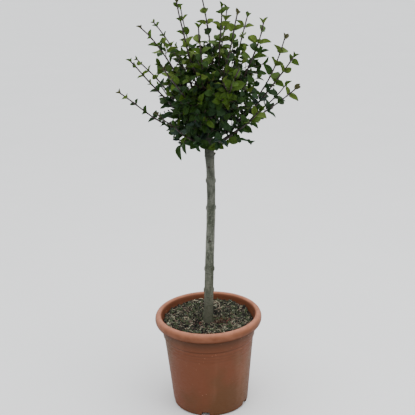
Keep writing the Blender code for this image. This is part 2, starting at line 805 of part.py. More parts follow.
def main():
    clear_scene()
    plant = new_collection("potted_lilac")
    cutters = new_collection("cutters")
    guides = new_collection("guides")
    terracotta = new_material("terracotta_plastic", (0.44, 0.19, 0.11), 0.55)
    earth = new_material("compost", (0.07, 0.065, 0.045), 0.95)
    bark = new_material("bark", (0.20, 0.21, 0.17), 0.85)
    shoot_bark = new_material("shoot_bark", (0.13, 0.10, 0.07), 0.75)
    green = new_material("leaf_green", (0.06, 0.14, 0.025), 0.45)
    build_trunk(plant, bark)
    cutter = as_guide(trunk_tube("trunk_cutter", FIT, guides))
    section = twig_section(guides)
    blade = leaf_mesh()
    for index, mass in enumerate(MASSES):
        build_bough(mass, cutter, plant, shoot_bark)
        build_mass(index, section, blade, plant, green)
    build_compost(plant, earth)
    build_pot(plant, cutters, terracotta)


main()
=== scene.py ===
"""Looks of the potted lilac: a small standard lilac in a terracotta-coloured plastic pot.

Metres, +Z up, with the photograph's front at -Y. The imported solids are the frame. A finer pot,
compost, trunk, boughs, twigs and leaves stand for them, in their places and within their reach.
"""

from __future__ import annotations

import json
import logging
import math
import random
from dataclasses import dataclass, field
from enum import Enum
from functools import reduce
from itertools import chain, product

import bmesh
import bpy
import numpy as np
from mathutils import Matrix, Vector, noise

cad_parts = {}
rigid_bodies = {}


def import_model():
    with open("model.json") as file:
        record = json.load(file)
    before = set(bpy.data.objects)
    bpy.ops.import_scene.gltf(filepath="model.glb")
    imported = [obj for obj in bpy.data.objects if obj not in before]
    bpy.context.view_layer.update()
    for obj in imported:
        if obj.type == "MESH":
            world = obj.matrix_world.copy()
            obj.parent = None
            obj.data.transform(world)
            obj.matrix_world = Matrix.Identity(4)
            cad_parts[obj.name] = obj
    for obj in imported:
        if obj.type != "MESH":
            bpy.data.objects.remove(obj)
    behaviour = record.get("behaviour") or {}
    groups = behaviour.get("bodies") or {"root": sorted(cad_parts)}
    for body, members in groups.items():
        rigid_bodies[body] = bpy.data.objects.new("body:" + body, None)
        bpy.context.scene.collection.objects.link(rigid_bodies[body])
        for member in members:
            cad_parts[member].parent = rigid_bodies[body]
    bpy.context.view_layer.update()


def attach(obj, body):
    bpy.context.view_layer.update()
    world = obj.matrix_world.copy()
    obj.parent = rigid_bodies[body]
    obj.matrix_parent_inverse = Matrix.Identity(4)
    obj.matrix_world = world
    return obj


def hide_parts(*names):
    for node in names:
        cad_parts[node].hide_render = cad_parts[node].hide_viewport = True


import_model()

log = logging.getLogger("potted_lilac")

BODY = "root"
UP = Vector((0.0, 0.0, 1.0))
MILLIMETRE = 0.001
FULL_TURN = 2 * math.pi
# A cross product with +Z that is shorter than this counts as that of an upright line.
UPRIGHT = 1e-3
# The angle in degrees over which the edges of most pieces stay sharp.
SHARP = 60.0

Colour = tuple[float, float, float]
Pair = tuple[float, float]
Triple = tuple[float, float, float]
Socket = bpy.types.NodeSocket
Material = bpy.types.Material
Object = bpy.types.Object

# A range of a value and what it becomes: where it starts and ends, and its share there.
Span = tuple[float, float, float, float]


class Slot(Enum):
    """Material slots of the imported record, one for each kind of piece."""

    POT = "terracotta_plastic"
    COMPOST = "compost"
    BARK = "bark"
    SHOOT = "shoot_bark"
    LEAF = "leaf_green"


def linear(red: float, green: float, blue: float) -> Colour:
    """Turns a display colour, in numbers from 0 to 255, into a scene-linear one."""
    shares = (value / 255.0 for value in (red, green, blue))
    return tuple(s / 12.92 if s <= 0.04045 else ((s + 0.055) / 1.055) ** 2.4 for s in shares)


def scaled(colour: Colour, factor: float) -> Colour:
    """Makes a scene-linear colour lighter or darker by a factor."""
    return tuple(min(1.0, value * factor) for value in colour)


@dataclass(frozen=True)
class Grain:
    """A cloudy pattern.

    Attributes:
        scale: How many blotches there are to a metre, roughly.
        detail: How many finer layers it has.
        stretch: Scale along X, Y and Z, where less than 1 draws the blotches out.
    """

    scale: float
    detail: float = 3.0
    stretch: Triple = (1.0, 1.0, 1.0)


class Shader:
    """Node tree of one material, with short calls for the nodes that the finishes are made of."""

    def __init__(self, name: str) -> None:
        """Starts a material that has a Principled shader.

        Args:
            name: Name of the material.
        """
        self.material = bpy.data.materials.new(name)
        self.material.use_nodes = True
        self.nodes = self.material.node_tree.nodes
        self.surface = self.nodes["Principled BSDF"]
        coordinates = self.nodes.new("ShaderNodeTexCoord")
        self.place = coordinates.outputs["Object"]
        self.chart = coordinates.outputs["UV"]
        self.facing = self.nodes.new("ShaderNodeNewGeometry").outputs["Normal"]

    def feed(self, socket: Socket, value: object) -> None:
        """Links a socket to another, or sets its value.

        Args:
            socket: The input socket.
            value: An output socket, a number, or three numbers.
        """
        if isinstance(value, bpy.types.NodeSocket):
            self.material.node_tree.links.new(value, socket)
        elif isinstance(value, tuple) and socket.type == "RGBA":
            socket.default_value = (*value, 1.0)
        else:
            socket.default_value = value

    def node(self, kind: str, inputs: dict, output: str | int, **options: str) -> Socket:
        """Adds a node.

        Args:
            kind: What a shader node's type says after ShaderNode.
            inputs: What is fed to its inputs, by their names or numbers.
            output: Name or number of the output that is used.
            **options: Its options.

        Returns:
            The output.
        """
        node = self.nodes.new("ShaderNode" + kind)
        for name, value in options.items():
            setattr(node, name, value)
        for name, value in inputs.items():
            self.feed(node.inputs[name], value)
        return node.outputs[output]

    def noise(self, grain: Grain) -> Socket:
        """A cloudy pattern, from 0 to 1."""
        place = self.node("Mapping", {"Vector": self.place, "Scale": grain.stretch}, "Vector")
        return self.node("TexNoise", {"Vector": place, "Scale": grain.scale, "Detail": grain.detail}, "Fac")

    def cells(self, scale: float) -> Socket:
        """Distance from the nearest middle of many cells, by how many there are to a metre."""
        return self.node("TexVoronoi", {"Vector": self.place, "Scale": scale}, "Distance")

    def between(
        self, value: Socket, low: float, high: float, start: float = 0.0, end: float = 1.0
    ) -> Socket:
        """Maps a value's range from low to high smoothly to the range from start to end."""
        inputs = {"Value": value, "From Min": low, "From Max": high, "To Min": start, "To Max": end}
        return self.node("MapRange", inputs, "Result", interpolation_type="SMOOTHSTEP")

    def math(self, operation: str, first: object, second: object = 0.0) -> Socket:
        """A sum on one or two values, by its name, such as MULTIPLY."""
        return self.node("Math", {0: first, 1: second}, "Value", operation=operation)

    def product(self, *values: Socket) -> Socket:
        """Multiplies values, from the first to the last."""
        return reduce(lambda first, second: self.math("MULTIPLY", first, second), values)

    def away(self, value: Socket, middle: float) -> Socket:
        """How far a value is from a number."""
        return self.math("ABSOLUTE", self.math("SUBTRACT", value, middle))

    def parts(self, vector: Socket) -> tuple[Socket, ...]:
        """Splits coordinates or a direction into its X, Y and Z."""
        return tuple(self.node("SeparateXYZ", {"Vector": vector}, "X").node.outputs)

    def mix(self, share: object, first: object, second: object) -> Socket:
        """Mixes two colours, by the share of the second one."""
        # By number, because a Mix node has sockets of the same name for each kind of value.
        return self.node("Mix", {0: share, 6: first, 7: second}, 2, data_type="RGBA")

    def over(self, base: object, colour: object, value: Socket, span: Span) -> Socket:
        """Lays a colour over another, by the share that a value's range gives it."""
        return self.mix(self.between(value, *span), base, colour)

    def ramp(self, value: Socket, *stops: tuple[float, Colour]) -> Socket:
        """Turns a value into a colour.

        Args:
            value: The value, from 0 to 1.
            *stops: Places from 0 to 1 with the colour at each.

        Returns:
            The colour.
        """
        found = self.node("ValToRGB", {"Fac": value}, "Color")
        elements = found.node.color_ramp.elements
        while len(elements) < len(stops):
            elements.new(0.5)
        for element, (place, colour) in zip(elements, stops):
            element.position = place
            element.color = (*colour, 1.0)
        return found

    def bump(self, *layers: tuple[Socket, float]) -> None:
        """Gives the surface fine relief.

        Args:
            *layers: Patterns with the height in metres that each stands for.
        """
        normal = {}
        for height, distance in layers:
            found = self.node("Bump", {"Distance": distance, "Height": height, **normal}, "Normal")
            normal = {"Normal": found}
        self.feed(self.surface.inputs["Normal"], normal["Normal"])

    def finished(self, base: object, roughness: object, specular: object = 0.5) -> Material:
        """Sets the main sockets of the surface.

        Args:
            base: Base colour.
            roughness: Roughness.
            specular: How strongly the surface mirrors, where 0.5 is usual.

        Returns:
            The material.
        """
        main = {"Base Color": base, "Roughness": roughness, "Specular IOR Level": specular}
        for name, value in main.items():
            self.feed(self.surface.inputs[name], value)
        return self.material


@dataclass(frozen=True)
class PotPlastic:
    """Satin moulded plastic in a terracotta colour: bleached lip, duller body, soil and splashes, with a
    painted highlight on top of the lip and painted shade under it, along the grooves, on faces that look
    down and inside the pot.
    """

    body: Colour = linear(96, 52, 30)
    olive: Colour = linear(80, 51, 26)
    lip: Colour = linear(100, 58, 34)
    # Painted shade for the lip where it faces down.
    lip_underside_shade: Colour = linear(72, 38, 22)
    # Colour of bleached patches on the lip, and of a painted highlight where the lip faces up.
    bleached_and_highlight: Colour = linear(166, 108, 83)
    # Painted shade: a darker colour for the wall inside the pot and the inner side of the roll.
    inside: Colour = linear(92, 50, 28)
    dust: Colour = linear(176, 132, 108)
    soil: Colour = linear(58, 44, 32)
    clouds: Grain = Grain(7.0, 4.0)
    olive_share: Span = (0.40, 0.62, 0.0, 0.85)
    streaks: Grain = Grain(16.0, 3.0, (1.0, 1.0, 0.2))
    streak_share: Span = (0.55, 0.8, 0.0, 0.12)
    lip_from: float = 0.2262
    shade_below_lip: float = 0.038
    shade_share: float = 0.75
    shade_tone: float = 0.5
    # Painted shade: dark lines along the step and under the ridges, each a height and how dark it is.
    grooves: tuple[Pair, ...] = ((0.1935, 0.45), (0.1822, 0.18), (0.1736, 0.12), (0.1652, 0.10))
    groove_edges: Pair = (0.0005, 0.0038)
    groove_shade_tone: float = 0.25
    rubbing: Grain = Grain(30.0, 4.0, (1.0, 1.0, 1.6))
    rubbed_share: Span = (0.35, 0.65, 0.0, 0.22)
    lip_underside_shade_share: Span = (-0.9, 0.25, 1.0, 0.0)
    lip_edge: float = 0.0045
    # The film is partly bleaching and partly a painted highlight on the lip's upward faces.
    film: Grain = Grain(70.0, 5.0)
    film_share: Span = (0.3, 0.7, 0.6, 0.9)
    highlight_slope: Pair = (0.05, 0.95)
    film_edge: float = 0.008
    inner_reach: Span = (0.1238, 0.1283, 1.0, 0.0)
    inner_foot: Pair = (0.2256, 0.2262)
    inner_top: Span = (0.2480, 0.2530, 1.0, 0.0)
    flecks: Grain = Grain(210.0, 2.0)
    fleck_share: Span = (0.71, 0.78, 0.0, 0.5)
    splashes: Grain = Grain(130.0, 4.0)
    splash_share: Span = (0.58, 0.70, 0.0, 0.6)
    splash_heights: Span = (0.0, 0.06, 1.0, 0.10)
    # Painted shade on faces that look down.
    downward_shade_share: Span = (-0.85, -0.25, 0.75, 0.0)
    downward_shade_tone: float = 0.3
    scuffs: Grain = Grain(90.0, 4.0, (1.0, 1.0, 7.0))
    roughness: Span = (0.3, 0.75, 0.47, 0.70)
    gloss: Span = (-0.6, -0.1, 0.03, 0.21)
    skin: Grain = Grain(1500.0, 2.0)
    skin_height: float = 0.00006
    scuff_height: float = 0.00008

    def material(self) -> Material:
        """Makes the material.

        Returns:
            The material.
        """
        shader = Shader("terracotta_plastic")
        height = shader.parts(shader.place)[2]
        facing_up = shader.parts(shader.facing)[2]
        base = shader.over(self.body, self.olive, shader.noise(self.clouds), self.olive_share)
        base = shader.over(base, self.dust, shader.noise(self.streaks), self.streak_share)
        shade = (self.lip_from - self.shade_below_lip, self.lip_from, 0.0, self.shade_share)
        base = shader.over(base, scaled(self.olive, self.shade_tone), height, shade)
        # Painted shade along the step and under each ridge.
        for line, depth in self.grooves:
            groove_shade = (*self.groove_edges, depth, 0.0)
            aside = shader.away(height, line)
            base = shader.over(base, scaled(self.olive, self.groove_shade_tone), aside, groove_shade)
        base = self.with_lip(shader, base, height, facing_up)
        # Painted shade: the darker inside colour over the inner wall and the inner side of the roll.
        base = shader.mix(self.inside_share(shader), base, self.inside)
        base = shader.over(base, self.dust, shader.noise(self.flecks), self.fleck_share)
        splashes = shader.between(shader.noise(self.splashes), *self.splash_share)
        low_down = shader.between(height, *self.splash_heights)
        base = shader.mix(shader.product(splashes, low_down), base, self.soil)
        # Painted shade: faces that look down are darkened.
        base = shader.over(base, scaled(self.olive, self.downward_shade_tone), facing_up, self.downward_shade_share)
        scuffs = shader.noise(self.scuffs)
        shader.bump((shader.noise(self.skin), self.skin_height), (scuffs, self.scuff_height))
        gloss = shader.between(facing_up, *self.gloss)
        return shader.finished(base, shader.between(scuffs, *self.roughness), gloss)

    def with_lip(self, shader: Shader, base: Socket, height: Socket, facing_up: Socket) -> Socket:
        """Adds the rubbed lip, with painted shade where it faces down, and the bleached film on top of it,
        which is partly a painted highlight where the lip faces up.

        Args:
            shader: The node tree.
            base: The colour so far.
            height: Height over the ground.
            facing_up: How far the surface faces up, from -1 to 1.

        Returns:
            The new colour.
        """
        lip = shader.over(self.lip, self.bleached_and_highlight, shader.noise(self.rubbing), self.rubbed_share)
        # Painted shade: the lip is darker where it faces down.
        lip = shader.over(lip, self.lip_underside_shade, facing_up, self.lip_underside_shade_share)
        base = shader.over(base, lip, height, (self.lip_from, self.lip_from + self.lip_edge, 0.0, 1.0))
        # Partly a bleached film and partly a painted highlight: the lip is paler where it faces up.
        film = shader.product(
            shader.between(facing_up, *self.highlight_slope),
            shader.between(shader.noise(self.film), *self.film_share),
            shader.between(height, self.lip_from, self.lip_from + self.film_edge),
        )
        return shader.mix(film, base, self.bleached_and_highlight)

    def inside_share(self, shader: Shader) -> Socket:
        """How far a place belongs to the bare wall inside the pot.

        Args:
            shader: The node tree.

        Returns:
            The share, from 0 to 1.
        """
        x, y, height = shader.parts(shader.place)
        squares = shader.math("ADD", shader.product(x, x), shader.product(y, y))
        within = shader.between(shader.math("SQRT", squares), *self.inner_reach)
        above_foot = shader.between(height, *self.inner_foot)
        return shader.product(within, above_foot, shader.between(height, *self.inner_top))


@dataclass(frozen=True)
class Earth:
    """Moist compost: dark crumbs, a mossy bloom, grey dry fibres and one redder patch, with painted shade
    where it lies lowest.
    """

    dark: Colour = linear(11, 10, 8)
    brown: Colour = linear(29, 25, 20)
    moss: Colour = linear(40, 46, 34)
    fibre: Colour = linear(118, 116, 98)
    red: Colour = linear(74, 40, 28)
    brown_lightening: float = 1.7
    moss_shade: float = 0.35
    red_shade: float = 0.4
    crumbs: Grain = Grain(420.0, 5.0)
    crumb_steps: Triple = (0.36, 0.52, 0.66)
    bloom: Grain = Grain(38.0, 4.0)
    bloom_share: Span = (0.46, 0.62, 0.0, 0.75)
    patch_middle: Triple = (0.034, 0.000, 0.229)
    patch_share: Span = (0.0168, 0.0392, 0.75, 0.0)
    patch_wavering: float = 0.02
    fibres: Grain = Grain(500.0)
    fibre_share: Span = (0.58, 0.68, 0.0, 0.8)
    hollow_share: Span = (0.2262, 0.2295, 0.9, 0.0)
    grit: Grain = Grain(1400.0)
    crumb_height: float = 0.0025
    grit_height: float = 0.0006
    roughness: float = 0.93
    gloss: float = 0.25

    def material(self) -> Material:
        """Makes the material.

        Returns:
            The material.
        """
        shader = Shader("compost")
        crumbs = shader.noise(self.crumbs)
        tones = (self.dark, self.brown, scaled(self.brown, self.brown_lightening))
        base = shader.ramp(crumbs, *zip(self.crumb_steps, tones))
        moss = shader.mix(crumbs, scaled(self.moss, self.moss_shade), self.moss)
        base = shader.over(base, moss, shader.noise(self.bloom), self.bloom_share)
        ends = {0: shader.place, 1: self.patch_middle}
        away = shader.node("VectorMath", ends, "Value", operation="DISTANCE")
        edge = shader.math("ADD", away, shader.math("MULTIPLY", crumbs, self.patch_wavering))
        red = shader.mix(crumbs, scaled(self.red, self.red_shade), self.red)
        base = shader.over(base, red, edge, self.patch_share)
        base = shader.over(base, self.fibre, shader.noise(self.fibres), self.fibre_share)
        # Painted shade: the compost is darkened where it lies lowest, such as round the trunk and in the
        # hollows.
        base = shader.over(base, self.dark, shader.parts(shader.place)[2], self.hollow_share)
        shader.bump((crumbs, self.crumb_height), (shader.noise(self.grit), self.grit_height))
        return shader.finished(base, self.roughness, self.gloss)


@dataclass(frozen=True)
class TwoTone:
    """A plain finish in two tones of one pattern: bits on the compost, cut wood and scars."""

    name: str
    light: Colour
    dark: Colour
    grain: Grain = Grain(260.0, 3.0, (1.0, 1.0, 0.3))
    steps: Pair = (0.3, 0.7)
    relief: float = 0.0003
    roughness: float = 0.8
    gloss: float = 0.3

    def material(self) -> Material:
        """Makes the material.

        Returns:
            The material.
        """
        shader = Shader(self.name)
        grain = shader.noise(self.grain)
        shader.bump((grain, self.relief))
        base = shader.ramp(grain, *zip(self.steps, (self.dark, self.light)))
        return shader.finished(base, self.roughness, self.gloss)


@dataclass(frozen=True)
class StemBark:
    """Smooth grey-green bark with pale lenticels, an olive film at the foot and painted shade on its upper
    part, under the crown.
    """

    grey: Colour = linear(100, 102, 92)
    green: Colour = linear(54, 59, 45)
    pale: Colour = linear(142, 142, 128)
    dark: Colour = linear(28, 28, 21)
    foot: Colour = linear(47, 49, 26)
    patches: Grain = Grain(55.0, 4.0, (1.0, 1.0, 0.35))
    patch_steps: Triple = (0.38, 0.52, 0.66)
    patch_tone: float = 0.75
    rings: Grain = Grain(130.0, 4.0, (0.5, 0.5, 1.5))
    ring_share: Span = (0.54, 0.66, 0.0, 0.5)
    dashes: Grain = Grain(420.0, 2.0, (0.55, 0.55, 2.4))
    dash_share: Span = (0.60, 0.69, 0.0, 0.7)
    pits: Grain = Grain(300.0, 3.0, (1.0, 1.0, 1.8))
    pit_share: Span = (0.58, 0.70, 0.0, 0.6)
    foot_share: Span = (0.23, 0.48, 0.72, 0.0)
    head_shade_share: Span = (0.47, 0.72, 0.0, 0.8)
    head_shade_tone: float = 0.7
    furrows: Grain = Grain(150.0, 4.0, (1.6, 1.6, 0.22))
    reliefs: Triple = (0.0007, 0.0005, 0.0004)
    roughness: float = 0.78
    gloss: float = 0.35

    def material(self) -> Material:
        """Makes the material.

        Returns:
            The material.
        """
        shader = Shader("bark")
        patches, dashes, pits = (shader.noise(g) for g in (self.patches, self.dashes, self.pits))
        tones = (self.green, self.grey, scaled(self.pale, self.patch_tone))
        base = shader.ramp(patches, *zip(self.patch_steps, tones))
        base = shader.over(base, self.dark, shader.noise(self.rings), self.ring_share)
        base = shader.over(base, self.pale, dashes, self.dash_share)
        base = shader.over(base, self.dark, pits, self.pit_share)
        height = shader.parts(shader.place)[2]
        base = shader.over(base, self.foot, height, self.foot_share)
        # Painted shade: the upper part of the trunk, under the crown, is darker.
        head = shader.mix(patches, self.dark, scaled(self.green, self.head_shade_tone))
        base = shader.over(base, head, height, self.head_shade_share)
        shader.bump(*zip((shader.noise(self.furrows), dashes, pits), self.reliefs))
        return shader.finished(base, self.roughness, self.gloss)


@dataclass(frozen=True)
class ShootBark:
    """Bark of young shoots, smooth and a little glossy, with pale dots."""

    name: str
    colour: Colour
    shade: Colour
    roughness: float = 0.5
    dots: Colour = linear(150, 130, 105)
    patches: Grain = Grain(120.0)
    patch_steps: Pair = (0.35, 0.65)
    dot_scale: float = 420.0
    dot_share: Span = (0.10, 0.2, 0.6, 0.0)
    skin: Grain = Grain(500.0)
    relief: float = 0.00025
    gloss: float = 0.4

    def material(self) -> Material:
        """Makes the material.

        Returns:
            The material.
        """
        shader = Shader(self.name)
        tones = zip(self.patch_steps, (self.shade, self.colour))
        base = shader.ramp(shader.noise(self.patches), *tones)
        base = shader.over(base, self.dots, shader.cells(self.dot_scale), self.dot_share)
        shader.bump((shader.noise(self.skin), self.relief))
        return shader.finished(base, self.roughness, self.gloss)


@dataclass(frozen=True)
class LeafFinish:
    """Waxy leaf: one side's colour, slightly clouded, with a paler rib and fine side veins."""

    name: str
    colour: Colour
    rib: Colour
    roughness: float
    clouds: Grain = Grain(160.0)
    cloud_steps: Pair = (0.32, 0.68)
    clouding: float = 0.16
    middle: float = 0.5
    vein_count: float = 7.0
    vein_slant: float = 1.5
    vein_share: Span = (0.0, 0.11, 0.38, 0.0)
    rib_share: Span = (0.0, 0.035, 0.75, 0.0)
    vein_hollow: Pair = (0.0, 0.3)
    vein_depth: float = 0.0005
    skin: Grain = Grain(900.0, 2.0)
    skin_height: float = 0.0001
    gloss: float = 0.15

    def material(self) -> Material:
        """Makes the material.

        Returns:
            The material.
        """
        shader = Shader(self.name)
        tones = [scaled(self.colour, 1.0 + sign * self.clouding) for sign in (-1, 1)]
        base = shader.ramp(shader.noise(self.clouds), *zip(self.cloud_steps, tones))
        along, across, _ = shader.parts(shader.chart)
        aside = shader.away(across, self.middle)
        slanted = shader.math("SUBTRACT", along, shader.math("MULTIPLY", aside, self.vein_slant))
        phase = shader.math("FRACT", shader.math("MULTIPLY", slanted, self.vein_count))
        near = shader.away(phase, self.middle)
        base = shader.over(base, self.rib, near, self.vein_share)
        base = shader.over(base, self.rib, aside, self.rib_share)
        hollow = shader.between(near, *self.vein_hollow)
        shader.bump((hollow, self.vein_depth), (shader.noise(self.skin), self.skin_height))
        return shader.finished(base, self.roughness, self.gloss)


@dataclass
class Shape:
    """A mesh before it becomes an object.

    Attributes:
        corners: One row of three numbers for each corner.
        faces: One row of four corner numbers for each face, the last -1 in a triangle.
        slots: The finish of each face, as its place in the list of materials.
        chart: Two numbers for each corner, for patterns that follow the surface.
    """

    corners: np.ndarray
    faces: np.ndarray
    slots: np.ndarray
    chart: np.ndarray

    def moved(self, matrix: Matrix) -> Shape:
        """The same shape moved by a matrix."""
        grid = np.array(matrix)
        return Shape(self.corners @ grid[:3, :3].T + grid[:3, 3], self.faces, self.slots, self.chart)

    def finished_as(self, slot: int) -> Shape:
        """The same shape with one finish all over, by its place in the list of materials."""
        return Shape(self.corners, self.faces, np.full(len(self.faces), slot), self.chart)


class Pile:
    """Small shapes that are joined into one piece."""

    def __init__(self) -> None:
        """Starts an empty pile."""
        self.shapes: list[Shape] = []

    def add(self, shape: Shape) -> None:
        """Puts a shape on the pile."""
        self.shapes.append(shape)

    def build(self, name: str, materials: list[Material], sharp: float = SHARP) -> Object:
        """Makes the piece.

        Args:
            name: Name of the piece.
            materials: Its materials, in the order that the shapes' slots count.
            sharp: Angle in degrees over which an edge stays sharp.

        Returns:
            The new object.
        """
        shifts = np.cumsum([0] + [len(shape.corners) for shape in self.shapes])
        corners = np.concatenate([shape.corners for shape in self.shapes])
        joined = [np.where(s.faces < 0, -1, s.faces + n) for s, n in zip(self.shapes, shifts)]
        faces = np.concatenate(joined)
        slots = np.concatenate([shape.slots for shape in self.shapes])
        chart = np.concatenate([shape.chart for shape in self.shapes])
        starts = np.cumsum([0, *np.where(faces[:-1, 3] < 0, 3, 4)])
        loops = faces.ravel()[faces.ravel() >= 0]
        mesh = bpy.data.meshes.new(name)
        mesh.vertices.add(len(corners))
        mesh.vertices.foreach_set("co", corners.astype(np.float32).ravel())
        mesh.loops.add(len(loops))
        mesh.loops.foreach_set("vertex_index", loops.astype(np.int32))
        mesh.polygons.add(len(faces))
        mesh.polygons.foreach_set("loop_start", starts.astype(np.int32))
        mesh.polygons.foreach_set("material_index", slots.astype(np.int32))
        layer = mesh.uv_layers.new(name="chart")
        layer.data.foreach_set("uv", chart[loops].astype(np.float32).ravel())
        mesh.update(calc_edges=True)
        mesh.validate()
        return new_piece(name, mesh, materials, sharp)


def new_piece(
    name: str, mesh: bpy.types.Mesh, materials: list[Material], sharp: float = SHARP
) -> Object:
    """Makes a smooth-shaded object of a mesh.

    Args:
        name: Name of the object.
        mesh: Its mesh.
        materials: Its materials.
        sharp: Angle in degrees over which an edge stays sharp.

    Returns:
        The new object, linked to the scene.
    """
    for material in materials:
        mesh.materials.append(material)
    mesh.shade_smooth()
    mesh.set_sharp_from_angle(angle=math.radians(sharp))
    piece = bpy.data.objects.new(name, mesh)
    bpy.context.scene.collection.objects.link(piece)
    return piece


def hand_over(piece: Object, slot: Slot, *nodes: str) -> None:
    """Lets a piece ride on the body and stand for its CAD nodes.

    Args:
        piece: The piece.
        slot: The record's slot for the piece; it is not used.
        *nodes: The CAD nodes that it stands for.
    """
    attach(piece, BODY)
    if nodes:
        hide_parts(*nodes)
    triangles = sum(len(face.vertices) - 2 for face in piece.data.polygons)
    log.info("%s: %d triangles, stands for %d nodes", piece.name, triangles, len(nodes))


def evenly(first: float, last: float, count: int) -> list[float]:
    """Numbers in equal steps, from the first to the last."""
    return [first + (last - first) * i / (count - 1) for i in range(count)]


def held(value: float) -> float:
    """The value, kept from 0 to 1."""
    return min(1.0, max(0.0, value))


def smooth(value: float) -> float:
    """Eases a value in and out between 0 and 1."""
    share = held(value)
    return share * share * (3.0 - 2.0 * share)


def circle(count: int) -> np.ndarray:
    """Angles in equal steps round a full turn, in radians."""
    return np.arange(count) * FULL_TURN / count


def direction(azimuth: float, elevation: float) -> Vector:
    """Unit vector at degrees from +X, counter-clockwise from above, and degrees over the ground."""
    a, e = math.radians(azimuth), math.radians(elevation)
    return Vector((math.cos(a) * math.cos(e), math.sin(a) * math.cos(e), math.sin(e)))


def side_of(along: Vector, turn: float) -> Vector:
    """A direction square to another.

    Args:
        along: The other direction.
        turn: Angle round it, in radians.

    Returns:
        The unit vector.
    """
    level = along.cross(UP)
    if level.length < UPRIGHT:
        level = Vector((1.0, 0.0, 0.0))
    return Matrix.Rotation(turn, 3, along) @ level.normalized()


def turned(profile: list[Pair], segments: int) -> Shape:
    """A closed shape turned round Z.

    Args:
        profile: Radius and height of each step, from the axis to the axis, down the outside.
        segments: How many sides it has.

    Returns:
        The shape.
    """
    radii, heights = (np.array(values) for values in zip(*profile[1:-1]))
    angles = circle(segments)
    rings = np.empty((len(radii), segments, 3))
    rings[:, :, 0] = radii[:, None] * np.cos(angles)
    rings[:, :, 1] = radii[:, None] * np.sin(angles)
    rings[:, :, 2] = heights[:, None]
    ends = np.array([(0.0, 0.0, profile[0][1]), (0.0, 0.0, profile[-1][1])])
    corners = np.concatenate((rings.reshape(-1, 3), ends))
    return Shape(corners, *closed_rings(len(radii), segments, turned_down=True))


def closed_rings(
    rings: int, sides: int, turned_down: bool = False
) -> tuple[np.ndarray, np.ndarray, np.ndarray]:
    """Faces between rings of corners, closed at both ends by a middle corner.

    Args:
        rings: How many rings there are.
        sides: How many corners a ring has.
        turned_down: True if the rings run down the outside of a turned shape.

    Returns:
        Faces, slots and chart for the rings' corners, which the two middles follow.
    """
    ring, side = np.meshgrid(np.arange(rings - 1) * sides, np.arange(sides), indexing="ij")
    after = (side + 1) % sides
    walls = np.stack((ring + side, ring + after, ring + sides + after, ring + sides + side), -1)
    side, after, none = side[0], after[0], np.full(sides, -1)
    first = np.stack((after, side, np.full(sides, rings * sides), none), -1)
    last = (rings - 1) * sides
    end = np.stack((last + side, last + after, np.full(sides, rings * sides + 1), none), -1)
    faces = np.concatenate((walls.reshape(-1, 4), first, end))
    if turned_down:
        quads = faces[:, 3] >= 0
        faces[quads] = faces[quads][:, [3, 2, 1, 0]]
        faces[~quads] = faces[~quads][:, [1, 0, 2, 3]]
    chart = np.zeros((rings * sides + 2, 2))
    chart[:-2, 0] = np.repeat(np.arange(rings), sides) / max(1, rings - 1)
    chart[:-2, 1] = np.tile(np.arange(sides), rings) / sides
    chart[-1, 0] = 1.0
    return faces, np.zeros(len(faces), int), chart


def tube(points: list[Vector], radii: list[float], sides: int) -> Shape:
    """A closed tapering tube along a line.

    Args:
        points: Places on its middle line.
        radii: Its radius at each.
        sides: How many sides it has.

    Returns:
        The shape.
    """
    line = np.array([tuple(p) for p in points])
    headings = np.gradient(line, axis=0)
    headings /= np.linalg.norm(headings, axis=1)[:, None]
    across = np.cross(headings[0], (0.0, 0.0, 1.0))
    if np.linalg.norm(across) < UPRIGHT:
        across = np.array((1.0, 0.0, 0.0))
    angles = circle(sides)
    rings = np.empty((len(line), sides, 3))
    for i, (middle, heading, radius) in enumerate(zip(line, headings, radii)):
        across = across - heading * (across @ heading)
        across /= np.linalg.norm(across)
        other = np.cross(heading, across)
        rings[i] = middle + radius * (np.cos(angles)[:, None] * across + np.sin(angles)[:, None] * other)
    corners = np.concatenate((rings.reshape(-1, 3), line[:1], line[-1:]))
    return Shape(corners, *closed_rings(len(line), sides))


